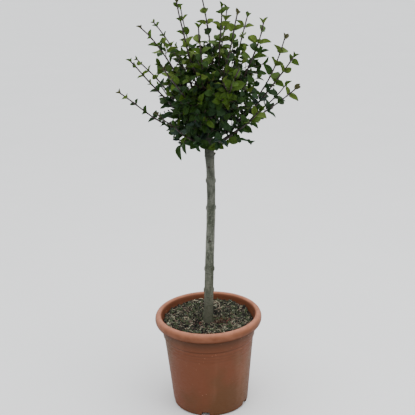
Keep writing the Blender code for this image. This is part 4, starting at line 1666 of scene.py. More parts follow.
class Order(Enum):
    """How far a twig is from the bough."""

    SHOOT = 0
    SIDE = 1
    FINE = 2


@dataclass
class Twig:
    """One twig.

    Attributes:
        points: Places on its middle line.
        radii: Its radius at each.
        order: How far it is from the bough.
        nodes: Distances along it where leaves and side twigs spring.
    """

    points: list[Vector]
    radii: list[float]
    order: Order
    nodes: list[float] = field(default_factory=list)

    @property
    def length(self) -> float:
        """Length of the twig."""
        return path_length(self.points)


@dataclass(frozen=True)
class Node:
    """A place on a twig where a pair of leaves or side twigs springs.

    Attributes:
        place: The place.
        heading: The twig's direction there.
        turn: Angle of the pair round the twig, in radians.
        twig: The twig's number.
        to_tip: Distance to the twig's tip.
    """

    place: Vector
    heading: Vector
    turn: float
    twig: int
    to_tip: float


@dataclass(frozen=True)
class Leaf:
    """One leaf.

    Attributes:
        foot: Where its stalk leaves the twig.
        along: Direction of its stalk and its rib.
        normal: Direction that its upper side faces.
        length: Length of the blade.
        width: Width of the blade.
        stalk: Length of the stalk.
        form: Number of its form.
        tint: Its colours.
    """

    foot: Vector
    along: Vector
    normal: Vector
    length: float
    width: float
    stalk: float
    form: int
    tint: Tint

    def at(self, share: float) -> Vector:
        """The place on its rib at a share of its length."""
        return self.foot + self.along * (self.stalk + self.length * share)


class Tint(Enum):
    """Colours of the leaves' upper sides, from the youngest to the most shaded; inside the body, they are
    lit and shaded copies of one green, which is painted light and shade.
    """

    BRONZE = linear(68, 68, 38)
    # Inside the body, a leaf takes one of the lower five tints by how much light reaches it: lit and shaded
    # copies of one green, which is painted light and shade. On the long shoots, the young and fresh greens
    # are the leaves' own colours.
    YOUNG = linear(74, 92, 31)
    FRESH = linear(53, 75, 16)
    FULL = linear(32, 56, 11)
    DEEP = linear(34, 57, 28)
    SHADE = linear(38, 54, 43)


class Spacing:
    """Places that are kept apart, sorted into cells so that neighbours are found quickly."""

    def __init__(self, cell: float) -> None:
        """Starts with no places, in cells at least as large as the widest room asked for."""
        self.cell = cell
        self.found: dict[tuple[int, int, int], list[tuple[Vector, int]]] = {}

    def key(self, place: Vector) -> tuple[int, int, int]:
        """The three numbers of a place's cell."""
        return tuple(math.floor(value / self.cell) for value in place)

    def keep(self, place: Vector, owner: int = -1) -> None:
        """Remembers a place, with the number of what it belongs to."""
        self.found.setdefault(self.key(place), []).append((place, owner))

    def free(self, place: Vector, room: float, owner: int = -2) -> bool:
        """Tells whether nothing else lies near a place.

        Args:
            place: The place.
            room: How far the nearest has to be.
            owner: Number of an owner whose places don't count.

        Returns:
            True if there is room.
        """
        around = product(*((number - 1, number, number + 1) for number in self.key(place)))
        near = chain.from_iterable(self.found.get(key, ()) for key in around)
        return all(whose == owner or (other - place).length >= room for other, whose in near)


# Gaps that the front view shows sky through: X and Z in the plane Y = 0 and radius, in millimetres.
SKY_GAPS = (
    (4, 921, 4), (32, 911, 6), (50, 947, 4), (73, 933, 7), (75, 901, 7), (109, 894, 9), (56, 886, 4),
    (49, 866, 5), (-30, 851, 6), (-15, 860, 7), (61, 845, 6), (39, 835, 4), (-63, 817, 6), (97, 803, 6),
    (25, 777, 4), (68, 760, 6), (22, 740, 3), (48, 745, 4), (-61, 774, 4), (-84, 766, 6), (-62, 904, 8),
    (-37, 900, 4), (145, 844, 8), (116, 767, 4), (52, 720, 7), (75, 731, 4), (85, 740, 4),
    (-84, 921, 8), (-86, 833, 7), (-80, 793, 6),
)


@dataclass
class Growth:
    """Boughs, shoots, twigs and leaves of the whole head, grown by one seeded rule.

    Whips are the parts of shoots beyond the leafy body. Spreads are ranges of a chance factor or
    angle. Lobes are balls added to the body: X, Y, Z and radius.
    """

    stem: Stem
    eye: Vector
    seed: int = 1006
    body_middle: Vector = field(default_factory=lambda: Vector((0.0275, 0.0, 0.8480)))
    body_radius: float = 0.118
    body_above: float = 0.113
    body_below: float = 0.149
    upper_power: float = 0.5
    lower_power: float = 0.76
    body_lean: float = 0.15
    lobes: tuple[tuple[float, float, float, float], ...] = (
        (0.124, -0.065, 0.914, 0.028), (0.140, 0.010, 0.860, 0.028), (-0.080, -0.020, 0.930, 0.026),
    )
    raggedness: float = 0.012
    raggedness_scale: float = 16.0
    path_points: int = 40
    bark_step: float = 0.0005
    bough_points: int = 9
    bough_from: float = 0.35
    bough_radius: float = 0.0029
    bough_tip_radius: float = 0.0023
    spur_at: float = 0.55
    spur_to_tip: float = 1.0
    shoot_tip_radius: float = 0.0017
    shoot_points: int = 14
    tip_allowance: float = 0.007
    wander: float = 0.0012
    wander_phase: float = 6.0
    wander_waves: Pair = (11.0, 9.0)
    fork_at: float = 0.012
    fork_spacing: float = 0.012
    fork_radius: float = 0.0023
    carried_on_node: float = 0.003
    first_node: float = 0.010
    last_node: float = 0.6
    node_turn_spread: float = 0.12
    node_spread: Pair = (0.85, 1.15)
    bud_depth: float = 0.0008
    internode: float = 0.0185
    outer_internode: float = 0.0285
    branch_depth: float = 0.004
    side_length: float = 0.040
    side_spread: Pair = (0.75, 1.3)
    side_radius: float = 0.0011
    side_tip_radius: float = 0.0007
    side_points: int = 5
    side_sag: float = 0.07
    side_first_node: float = 0.36
    fine_share: float = 0.55
    twig_angle: float = 50.0
    twig_tries: int = 6
    twig_spacing: float = 0.0220
    twig_internode: float = 0.0165
    head_x: float = 0.016
    head_clearance: Pair = (0.03, 0.012)
    leaf_clearance: Pair = (0.016, 0.006)
    tip_margin: float = 0.004
    whip_margin: float = 0.006
    leaf_length: float = 0.0300
    outer_leaf_length: float = 0.0285
    tip_leaf_length: float = 0.0185
    hanging_leaf_length: float = 0.0400
    end_size: float = 0.72
    whip_end_size: float = 0.85
    small_chance: float = 0.45
    small_size: Pair = (0.38, 0.6)
    small_angle: float = 0.62
    tip_angle: float = 0.62
    tip_width: float = 0.72
    tip_form: int = 3
    hanging_width: float = 0.55
    left_shortening: float = 0.34
    left_reach: float = 0.150
    outer_reach: float = 0.100
    length_spread: Pair = (0.86, 1.14)
    width_spread: Pair = (0.88, 1.14)
    leaf_width_share: float = 0.66
    leaf_angle: float = 55.0
    whip_leaf_angle: float = 47.0
    leaf_spacing: float = 0.56
    whip_width_share: float = 0.86
    folded_forms: tuple[int, ...] = (1, 3, 4)
    leaf_tries: int = 7
    angle_spread: float = 13.0
    twig_turn_spread: float = 0.35
    leaf_turn_spread: float = 0.22
    shortened: float = 0.06
    light_pull: float = 0.42
    outward_pull: float = 0.60
    hang_below: float = 0.760
    droop_rate: float = 9.0
    droop_most: float = 0.8
    droop_spread: Pair = (0.2, 1.2)
    large_leaf: float = 0.025
    large_droop: Pair = (0.0, 0.2)
    lowest_tip: float = 0.707
    lowest_hanging_tip: float = 0.668
    hanging_elevation: float = 5.0
    hanging_share: float = 0.50
    hanging_outwards: float = 0.40
    whips_from: float = 0.010
    rib_steps: Triple = (0.35, 0.65, 1.0)
    wood_room: float = 0.0028
    wood_cell: float = 0.006
    gap_steps: tuple[Pair, ...] = ((0.1, 0.3), (0.4, 0.5), (0.7, 0.35), (1.0, 0.0))
    gap_margin: float = 0.3
    whip_roll: float = 0.65
    body_roll: float = 0.25
    stalk_share: float = 0.16
    wood_step: float = 0.004
    forms: int = 6
    young_from: float = 0.42
    young_chance: float = 0.55
    bronze_reach: float = 0.016
    bronze_chance: float = 0.4
    light_shares: Triple = (0.11, 0.42, 0.38)
    light_spread: float = 0.15
    glint: float = 0.34
    glint_chance: float = 0.10
    glint_from: float = 0.70
    tint_limits: tuple[tuple[float, Tint], ...] = (
        (1.02, Tint.YOUNG), (0.80, Tint.FRESH), (0.58, Tint.FULL), (0.40, Tint.DEEP),
    )
    boughs: list[Twig] = field(default_factory=list)
    twigs: list[Twig] = field(default_factory=list)
    leaves: list[Leaf] = field(default_factory=list)
    buds: list[Node] = field(default_factory=list)

    def __post_init__(self) -> None:
        """Grows everything."""
        self.rng = random.Random(self.seed)
        self.tips = Spacing(self.twig_spacing)
        self.middles = Spacing(self.leaf_length)
        self.wood = Spacing(self.wood_cell)
        self.nodes: list[Node] = []
        self.hanging: set[int] = set()
        for mass in MASSES:
            self.grow_mass(mass)
        for order in (Order.SIDE, Order.FINE):
            self.branch(order)
        self.rng.shuffle(self.nodes)
        self.nodes.sort(key=lambda node: self.twigs[node.twig].order.value)
        for node in self.nodes:
            self.add_pair(node)

    def beyond_body(self, place: Vector) -> float:
        """How far a place lies outside the leafy body, which narrows downwards like a pear.

        Args:
            place: The place.

        Returns:
            The distance, less than 0 inside.
        """
        offset = place - self.body_middle
        offset.x -= self.body_lean * offset.z
        upper = offset.z > 0.0
        tall = offset.z / (self.body_above if upper else self.body_below)
        power = self.upper_power if upper else self.lower_power
        wide = (offset.xy.length / self.body_radius) ** (1.0 / power)
        beyond = (math.sqrt(wide + tall * tall) - 1.0) * self.body_radius
        return min(beyond, *((place - Vector(lobe[:3])).length - lobe[3] for lobe in self.lobes))

    def shoot_path(self, mass: Mass, shoot: Shoot, start: Vector, count: int) -> list[Vector]:
        """Path of a shoot to its tip.

        Args:
            mass: Its mass.
            shoot: The shoot.
            start: Where the path starts.
            count: How many places it has.

        Returns:
            The places.
        """
        out = direction(shoot.azimuth, shoot.elevation)
        tip = self.stem.middle(mass.tier.spring_z) + out * shoot.reach
        outwards = direction(shoot.azimuth, shoot.elevation - 90.0)
        return bent_path(start, tip, outwards * shoot.bend * (tip - start).length, count)

    def bark_exit(self, path: list[Vector]) -> float:
        """How far along a path from the trunk's middle line the bark lies.

        Args:
            path: The path.

        Returns:
            The distance.
        """
        distance, inside = 0.0, True
        while inside:
            distance += self.bark_step
            place, _ = along_path(path, distance)
            away = (place - self.stem.middle(place.z)).length
            inside = place.z < self.stem.top_z and away < self.stem.radius(place.z)
        return distance

    def wandering(self, points: list[Vector]) -> list[Vector]:
        """A path that wanders a little from side to side, with its ends kept.

        Args:
            points: The path.

        Returns:
            The new path.
        """
        heading = (points[-1] - points[0]).normalized()
        sides = side_of(heading, 0.0), side_of(heading, math.pi / 2)
        phases = [self.rng.uniform(0, self.wander_phase) for _ in sides]
        found = []
        for i, place in enumerate(points):
            share = i / (len(points) - 1)
            swing = self.wander * math.sin(math.pi * share) ** 0.5 if 0.0 < share < 1.0 else 0.0
            for side, phase, waves in zip(sides, phases, self.wander_waves):
                place = place + side * swing * math.sin(phase + waves * share)
            found.append(place)
        return found

    def grow_mass(self, mass: Mass) -> None:
        """Grows the bough and the long shoots of a mass.

        Args:
            mass: The mass.
        """
        root = self.stem.middle(mass.tier.spring_z)
        path = self.shoot_path(mass, mass.shoots[0], root, self.path_points)
        bark = self.bark_exit(path)
        end = bark + mass.tier.bough_length
        steps = evenly(bark * self.bough_from, end, self.bough_points)
        radii = evenly(self.bough_radius, self.bough_tip_radius, self.bough_points)
        self.boughs.append(Twig([along_path(path, s)[0] for s in steps], radii, Order.SHOOT))
        spur = along_path(path, bark + mass.tier.bough_length * self.spur_at)
        turn = self.rng.uniform(0, math.pi)
        self.nodes.append(Node(*spur, turn, len(self.twigs), self.spur_to_tip))
        tip = path_length(path) - self.tip_allowance
        first = [along_path(path, s)[0] for s in evenly(end, tip, self.shoot_points)]
        radii = (self.bough_tip_radius, self.shoot_tip_radius)
        self.add_twig(self.wandering(first), radii, Order.SHOOT, self.carried_on_node)
        for number, shoot in enumerate(mass.shoots[1:]):
            if shoot.elevation < self.hanging_elevation:
                self.hanging.add(len(self.twigs))
            fork, _ = along_path(first, self.fork_at + self.fork_spacing * number)
            path = self.shoot_path(mass, shoot, fork, self.shoot_points)
            end = path_length(path) - self.tip_allowance
            if len(self.twigs) in self.hanging:
                end = path_length(path) * self.hanging_share
            points = self.wandering([along_path(path, s)[0] for s in evenly(0.0, end, self.shoot_points)])
            self.add_twig(points, (self.fork_radius, self.shoot_tip_radius), Order.SHOOT, self.first_node)

    def add_twig(self, points: list[Vector], radii: Pair, order: Order, first: float) -> None:
        """Adds a twig and finds its nodes.

        Args:
            points: Places on its middle line.
            radii: Its radius at its foot and at its tip.
            order: How far it is from the bough.
            first: Distance of its first node.
        """
        twig = Twig(points, evenly(*radii, len(points)), order)
        number = len(self.twigs)
        self.twigs.append(twig)
        self.tips.keep(points[-1])
        length = twig.length
        for s in evenly(0.0, length, max(2, int(length / self.wood_step))):
            self.wood.keep(along_path(points, s)[0], number)
        turn = self.rng.uniform(0, math.pi)
        at = first
        while at < length - self.tip_leaf_length * self.last_node:
            place, heading = along_path(points, at)
            self.nodes.append(Node(place, heading, turn, number, length - at))
            twig.nodes.append(at)
            turn += math.pi / 2 + self.rng.gauss(0, self.node_turn_spread)
            step = self.twig_internode
            if order is Order.SHOOT:
                step = self.internode if self.beyond_body(place) < 0.0 else self.outer_internode
            at += step * self.rng.uniform(*self.node_spread)
        place, heading = along_path(points, length - self.bud_depth)
        self.nodes.append(Node(place, heading, turn, number, 0.0))
        self.buds.append(self.nodes[-1])

    def branch(self, order: Order) -> None:
        """Grows side twigs from the nodes that are there, inside the ball.

        Args:
            order: What the new twigs are.
        """
        carriers = [n for n in self.nodes if self.twigs[n.twig].order.value == order.value - 1]
        for node in carriers:
            if self.beyond_body(node.place) < -self.branch_depth and node.to_tip > 0.0:
                for side in (math.pi / 2, -math.pi / 2):
                    self.add_side_twig(node, node.turn + side, order)

    def add_side_twig(self, node: Node, turn: float, order: Order) -> None:
        """Adds a short twig, turned and shortened until there is room for it.

        Args:
            node: Where it springs.
            turn: Angle round the twig that carries it, in radians.
            order: What the new twig is.
        """
        usual = self.side_length * (self.fine_share if order is Order.FINE else 1.0)
        reach, down = self.head_clearance
        for tries in range(self.twig_tries):
            angle = math.radians(self.twig_angle + self.rng.uniform(-self.angle_spread, self.angle_spread))
            side = side_of(node.heading, turn + self.rng.uniform(-1, 1) * self.twig_turn_spread * tries)
            along = node.heading * math.cos(angle) + side * math.sin(angle)
            length = usual * self.rng.uniform(*self.side_spread) * (1.0 - self.shortened * tries)
            end = node.place + along * length
            beyond = self.beyond_body(end)
            limit = self.raggedness * noise.noise(end * self.raggedness_scale)
            clear = end.z > self.stem.head_z - down or math.hypot(end.x - self.head_x, end.y) > reach
            if beyond < limit and clear and self.tips.free(end, self.twig_spacing):
                points = bent_path(node.place, end, UP * (-self.side_sag * length), self.side_points)
                radii = (self.side_radius, self.side_tip_radius)
                self.add_twig(points, radii, order, length * self.side_first_node)
                return

    def size_at(self, node: Node) -> float:
        """Usual leaf length at a node.

        Args:
            node: The node.

        Returns:
            Full in the ball, less beyond it, and less near a twig's tip.
        """
        beyond = self.beyond_body(node.place)
        at_tip = node.to_tip < self.tip_margin
        if node.twig in self.hanging:
            return self.hanging_leaf_length
        if beyond > -self.whip_margin and self.twigs[node.twig].order is Order.SHOOT:
            share = held(beyond / self.outer_reach)
            size = self.outer_leaf_length + (self.tip_leaf_length - self.outer_leaf_length) * share
            left = held((self.body_middle.x - node.place.x) / self.left_reach)
            size *= 1.0 - self.left_shortening * left
            return size * (self.whip_end_size if at_tip else 1.0)
        return self.leaf_length * (self.end_size if at_tip else 1.0)

    def add_pair(self, node: Node) -> None:
        """Adds two opposite leaves that stand up and out from the twig, each where there is room.

        Args:
            node: Where they spring.
        """
        tint = self.tint_at(node)
        on_whip = self.beyond_body(node.place) > self.whips_from
        for side in (0.0, math.pi):
            for tries in range(self.leaf_tries):
                spread = self.leaf_turn_spread * (1 + tries)
                turn = node.turn + side + self.rng.uniform(-spread, spread)
                size = self.size_at(node) * (1.0 - self.shortened * tries)
                leaf = self.leaf_at(node, turn, size, tint)
                if self.has_room(leaf, node.twig):
                    self.keep_leaf(leaf, node.twig)
                    break
        if on_whip and node.to_tip > 0.0:
            for side in (math.pi / 2, -math.pi / 2):
                if self.rng.random() < self.small_chance:
                    size = self.size_at(node) * self.rng.uniform(*self.small_size)
                    leaf = self.leaf_at(node, node.turn + side, size, tint, self.small_angle)
                    self.keep_leaf(leaf, node.twig)

    def keep_leaf(self, leaf: Leaf, twig: int) -> None:
        """Adds a leaf that a twig carries, by the twig's number."""
        self.leaves.append(leaf)
        self.middles.keep(leaf.at(0.5), twig)

    def has_room(self, leaf: Leaf, twig: int) -> bool:
        """Tells whether a leaf is clear of other leaves, other twigs and the trunk.

        Args:
            leaf: The leaf.
            twig: Number of the twig that carries it.

        Returns:
            True if it has room.
        """
        middle = leaf.at(0.5)
        if not self.middles.free(middle, leaf.length * self.leaf_spacing):
            return False
        reach, over = self.leaf_clearance
        if math.hypot(middle.x - self.head_x, middle.y) < reach and middle.z < self.stem.top_z + over:
            return False
        lowest = self.lowest_hanging_tip if twig in self.hanging else self.lowest_tip
        if leaf.at(1.0).z < lowest or self.shuts_gap(leaf):
            return False
        return all(self.wood.free(leaf.at(share), self.wood_room, twig) for share in self.rib_steps)

    def shuts_gap(self, leaf: Leaf) -> bool:
        """Tells whether a leaf would hide a gap that the front view shows sky through.

        Args:
            leaf: The leaf.

        Returns:
            True if it would.
        """
        for share, wide in self.gap_steps:
            place = leaf.at(share)
            seen = self.eye + (place - self.eye) * (self.eye.y / (self.eye.y - place.y))
            for x, z, radius in SKY_GAPS:
                room = radius * MILLIMETRE + leaf.width * wide * self.gap_margin
                if math.hypot(seen.x - x * MILLIMETRE, seen.z - z * MILLIMETRE) < room:
                    return True
        return False

    def leaf_at(self, node: Node, turn: float, length: float, tint: Tint, spread: float = 1.0) -> Leaf:
        """A leaf that leaves its twig at a turn round it, face up towards the light.

        Args:
            node: Where it springs.
            turn: Angle round the twig, in radians.
            length: Usual length.
            tint: Its colours.
            spread: How wide it stands off the twig, where 1 is usual.

        Returns:
            The leaf.
        """
        outwards = side_of(node.heading, turn)
        beyond = self.beyond_body(node.place)
        at_tip = node.to_tip < self.tip_margin
        usual = self.whip_leaf_angle if beyond > 0.0 else self.leaf_angle
        usual *= self.tip_angle if at_tip else 1.0
        angle = math.radians((usual + self.rng.uniform(-self.angle_spread, self.angle_spread)) * spread)
        along = node.heading * math.cos(angle) + outwards * math.sin(angle)
        low = max(0.0, self.hang_below - node.place.z)
        droop = min(self.droop_most, self.droop_rate * low) * self.rng.uniform(*self.droop_spread)
        more = self.rng.uniform(*self.large_droop) * (length > self.large_leaf)
        along = (along - UP * (droop + more)).normalized()
        hanging = node.twig in self.hanging
        if hanging:
            along = (along * self.hanging_outwards - UP).normalized()
        away = (node.place - self.body_middle).normalized()
        normal = node.heading * math.sin(angle) - outwards * math.cos(angle)
        normal = normal + UP * self.light_pull + away * self.outward_pull
        normal = (normal - along * normal.dot(along)).normalized()
        roll = self.whip_roll if beyond > -self.whip_margin else self.body_roll
        normal = Matrix.Rotation(self.rng.gauss(0, roll), 3, along) @ normal
        size = length * self.rng.uniform(*self.length_spread)
        width = size * self.leaf_width_share * self.rng.uniform(*self.width_spread)
        form = self.rng.randrange(self.forms)
        if beyond > 0.0:
            form = self.rng.choice(self.folded_forms)
            width *= self.whip_width_share / self.leaf_width_share
            if at_tip:
                form = self.tip_form
                width *= self.tip_width
        if hanging:
            width *= self.hanging_width
        return Leaf(node.place, along, normal, size, width, size * self.stalk_share, form, tint)

    def tint_at(self, node: Node) -> Tint:
        """Colours of the leaves at a node: younger on long shoots; inside the body, painted light and
        shade, lighter high up and outside, darker low down and inside.

        Args:
            node: The node.

        Returns:
            The tint.
        """
        beyond = self.beyond_body(node.place)
        low, high = self.body_middle.z - self.body_below, self.body_middle.z + self.body_above
        height = (node.place.z - low) / (high - low)
        chance = self.rng.random()
        if beyond > self.whips_from and height > self.young_from:
            if node.to_tip < self.bronze_reach and chance < self.bronze_chance:
                return Tint.BRONZE
            return Tint.YOUNG if chance < self.young_chance else Tint.FRESH
        outward = min(1.0, 1.0 + beyond / self.body_radius)
        # Painted light and shade: the tint is lighter high up and outside, darker low down and inside.
        least, by_height, by_depth = self.light_shares
        light = least + by_height * height + by_depth * outward + self.rng.gauss(0, self.light_spread)
        # A painted highlight: a few leaves on the outside take a lighter tint.
        if chance < self.glint_chance and outward > self.glint_from:
            light += self.glint
        return next((tint for limit, tint in self.tint_limits if light > limit), Tint.SHADE)


def sheet(grid: np.ndarray) -> np.ndarray:
    """Faces between neighbouring corners, from the corners' numbers row by row."""
    return np.stack((grid[:-1, :-1], grid[1:, :-1], grid[1:, 1:], grid[:-1, 1:]), -1).reshape(-1, 4)


@dataclass(frozen=True)
class Blade:
    """One leaf form, a unit long and wide: broad, pointed, folded along its rib and curled down.

    Attributes:
        fold: Degrees that each half is raised.
        curl: Degrees that the rib bends down over its length.
        wave: How far its edge waves, as a share of its width.
        phase: Where the wave starts.
    """

    fold: float
    curl: float
    wave: float
    phase: float
    rows: int = 8
    columns: int = 4
    thickness: float = 0.014
    rib_depth: float = 0.022
    widest: float = 0.42
    base_roundness: float = 1.1
    tip_roundness: float = 1.85
    least_half_width: float = 0.012
    row_crowding: float = 0.05
    curl_power: float = 1.2
    fold_easing: float = 0.35
    sag: float = 0.10
    waves: float = 9.5

    def half_width(self, share: float) -> float:
        """Half the leaf's width.

        Args:
            share: Place along the leaf, from 0 to 1.

        Returns:
            The half width, where the widest is 0.5.
        """
        if share < self.widest:
            off = 1.0 - share / self.widest
            return max(self.least_half_width, 0.5 * math.sqrt(1.0 - off * off) ** self.base_roundness)
        off = (share - self.widest) / (1.0 - self.widest)
        return max(self.least_half_width, 0.5 * (1.0 - off**self.tip_roundness))

    def surface(self, lift: float) -> np.ndarray:
        """Places on the leaf, row by row.

        Args:
            lift: How far over the middle surface, towards the upper side.

        Returns:
            Rows by columns by three numbers.
        """
        grid = np.empty((self.rows + 1, self.columns + 1, 3))
        rib = np.zeros(3)
        for i in range(self.rows + 1):
            share = i / self.rows
            share = share - self.row_crowding * math.sin(FULL_TURN * share)
            bend = math.radians(self.curl) * share**self.curl_power
            if i:
                step = share - last
                rib = rib + step * np.array((math.cos(bend), 0.0, -math.sin(bend)))
            last = share
            over = np.array((math.sin(bend), 0.0, math.cos(bend)))
            half = self.half_width(share)
            raised = math.radians(self.fold) * (1.0 - self.fold_easing * share)
            inside = 0 < i < self.rows
            for j in range(self.columns + 1):
                aside = 2.0 * j / self.columns - 1.0
                rise = abs(aside) * half * math.sin(raised) - self.sag * half * aside * aside
                rise += self.wave * half * math.sin(self.waves * share + self.phase + aside) * abs(aside)
                inner = 1.0 - abs(aside) if inside else 0.0
                drop = self.rib_depth if inside and lift < 0.0 and j * 2 == self.columns else 0.0
                grid[i, j] = rib + over * (rise + lift * inner - drop)
                grid[i, j, 1] += aside * half * math.cos(raised)
        return grid

    def shape(self, face: int, back: int) -> Shape:
        """The leaf as a closed thin shape with two sides.

        Args:
            face: Finish of the upper side.
            back: Finish of the underside.

        Returns:
            The shape.
        """
        upper, lower = self.surface(self.thickness), self.surface(-self.thickness)
        wide = self.columns + 1
        count = (self.rows + 1) * wide
        numbers = np.arange(count).reshape(self.rows + 1, wide)
        under = numbers.copy()
        under[1:-1, 1:-1] += count
        faces = np.concatenate((sheet(numbers), sheet(under)[:, ::-1]))
        slots = np.repeat((face, back), self.rows * self.columns)
        shares = np.linspace(0, 1, self.rows + 1), np.linspace(0, 1, wide)
        along, across = np.meshgrid(*shares, indexing="ij")
        chart = np.tile(np.stack((along.ravel(), across.ravel()), -1), (2, 1))
        corners = np.concatenate((upper.reshape(-1, 3), lower.reshape(-1, 3)))
        return Shape(corners, faces, slots, chart)


CURLED_BLADE = Blade(15.0, 40.0, 0.08, 3.9)
BLADES = (
    Blade(20.0, 24.0, 0.05, 0.4), Blade(40.0, 20.0, 0.05, 2.1), CURLED_BLADE,
    Blade(48.0, 12.0, 0.04, 5.2), Blade(34.0, 26.0, 0.05, 1.2), Blade(12.0, 28.0, 0.10, 4.6),
)


def solids(kind: str) -> list[str]:
    """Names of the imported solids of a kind, one for each mass."""
    return [f"{kind}_{mass.name}" for mass in MASSES]


@dataclass
class Crown:
    """Everything above the trunk, made of what has grown.

    Pairs of node_shape are a distance from a node and the radius there, as a factor. Those of
    bud_shape are a share of the length and a factor.
    """

    growth: Growth
    bough_sides: int = 14
    bough_steps: int = 26
    bough_lumps: Pair = (0.10, 190.0)
    bough_flare: Pair = (0.35, 0.006)
    shoot_sides: int = 8
    twig_sides: int = 5
    least_step: float = 0.0004
    end_margin: float = 0.001
    node_shape: tuple[Pair, ...] = ((-0.0022, 1.0), (-0.0006, 1.28), (0.0006, 1.28), (0.0022, 1.0))
    young_from: float = -0.02
    bud_length: float = 0.0065
    bud_shape: tuple[Pair, ...] = ((0.0, 0.9), (0.35, 1.25), (0.7, 0.8), (1.0, 0.08))
    bud_sides: int = 6
    stalk_radius: float = 0.00045
    stalk_growth: Pair = (0.7, 12.0)
    stalk_lap: float = 0.04
    stalk_sag: float = 0.0003
    stalk_taper: Triple = (1.3, 1.0, 0.9)
    stalk_sides: int = 4
    rib_lightening: float = 1.75
    back_lightening: float = 1.25
    back_bloom: float = 0.002
    face_roughness: float = 0.52
    back_roughness: float = 0.65

    def swollen(self, twig: Twig) -> tuple[list[Vector], list[float]]:
        """A twig's line with extra places where it swells at its nodes.

        Args:
            twig: The twig.

        Returns:
            The places and the radius at each.
        """
        length = twig.length
        marks = {s: 1.0 for s in evenly(0.0, length, len(twig.points))}
        for node in twig.nodes:
            for shift, swell in self.node_shape:
                if self.end_margin < node + shift < length - self.end_margin:
                    marks[node + shift] = swell
        places, radii, last = [], [], -1.0
        for s in sorted(marks):
            if s - last < self.least_step:
                continue
            last = s
            places.append(along_path(twig.points, s)[0])
            share = s / length
            radii.append((twig.radii[0] + (twig.radii[-1] - twig.radii[0]) * share) * marks[s])
        return places, radii

    def build_boughs(self, bark: Material) -> None:
        """Makes the boughs, one piece for all, and hands them over.

        Args:
            bark: Their bark.
        """
        pile = Pile()
        lumps, scale = self.bough_lumps
        flare, reach = self.bough_flare
        for bough in self.growth.boughs:
            steps = evenly(0.0, bough.length, self.bough_steps)
            points = [along_path(bough.points, s)[0] for s in steps]
            plain = evenly(bough.radii[0], bough.radii[-1], self.bough_steps)
            radii = [
                r * (1.0 + lumps * noise.noise(p * scale) + flare * math.exp(-s / reach))
                for r, p, s in zip(plain, points, steps)
            ]
            pile.add(tube(points, radii, self.bough_sides))
        hand_over(pile.build("boughs", [bark]), Slot.SHOOT, *solids("bough"))

    def build_twigs(self, old: Material, young: Material) -> None:
        """Makes the shoots and twigs with their buds, and hands them over.

        Args:
            old: Bark of the long shoots inside the ball and of the twigs.
            young: Bark of the shoots beyond it.
        """
        growth = self.growth
        pile = Pile()
        for twig in growth.twigs:
            places, radii = self.swollen(twig)
            sides = self.shoot_sides if twig.order is Order.SHOOT else self.twig_sides
            shape = tube(places, radii, sides)
            if twig.order is Order.SHOOT:
                beyond = [growth.beyond_body(p) > self.young_from for p in places[:-1]]
                walls = np.repeat(np.array(beyond, int), sides)
                shape.slots[: len(walls)] = walls
            pile.add(shape)
        for bud in growth.buds:
            if growth.beyond_body(bud.place) > self.young_from:
                points = [bud.place + bud.heading * self.bud_length * s for s, _ in self.bud_shape]
                radii = [growth.shoot_tip_radius * r for _, r in self.bud_shape]
                pile.add(tube(points, radii, self.bud_sides).finished_as(1))
        hand_over(pile.build("twigs", [old, young]), Slot.SHOOT, *solids("foliage"))

    def stalk(self, leaf: Leaf) -> Shape:
        """A leaf's stalk, from its twig to just inside the blade.

        Args:
            leaf: The leaf.

        Returns:
            The shape.
        """
        foot = leaf.foot + leaf.along * leaf.stalk
        inside = foot + leaf.along * leaf.length * self.stalk_lap
        least, growth = self.stalk_growth
        radius = self.stalk_radius * (least + leaf.length * growth)
        points = [leaf.foot, leaf.foot.lerp(inside, 0.5) - leaf.normal * self.stalk_sag, inside]
        return tube(points, [radius * share for share in self.stalk_taper], self.stalk_sides)

    def build_leaves(self) -> None:
        """Makes the leaves, one piece for each tint, and hands them over."""
        forms = [blade.shape(0, 1) for blade in BLADES]
        piles = {tint: Pile() for tint in Tint}
        for leaf in self.growth.leaves:
            foot = leaf.foot + leaf.along * leaf.stalk
            across = leaf.normal.cross(leaf.along)
            turn = Matrix((leaf.along, across, leaf.normal)).transposed().to_4x4()
            size = Matrix.Diagonal((leaf.length, leaf.width, leaf.length, 1.0))
            piles[leaf.tint].add(forms[leaf.form].moved(Matrix.Translation(foot) @ turn @ size))
            piles[leaf.tint].add(self.stalk(leaf).finished_as(1))
        for tint, pile in piles.items():
            name = tint.name.lower()
            rib = scaled(tint.value, self.rib_lightening)
            back = tuple(value * self.back_lightening + self.back_bloom for value in tint.value)
            face = LeafFinish(f"leaf_{name}_face", tint.value, rib, self.face_roughness).material()
            under = LeafFinish(f"leaf_{name}_back", back, rib, self.back_roughness).material()
            hand_over(pile.build(f"leaves_{name}", [face, under]), Slot.LEAF, *solids("foliage"))


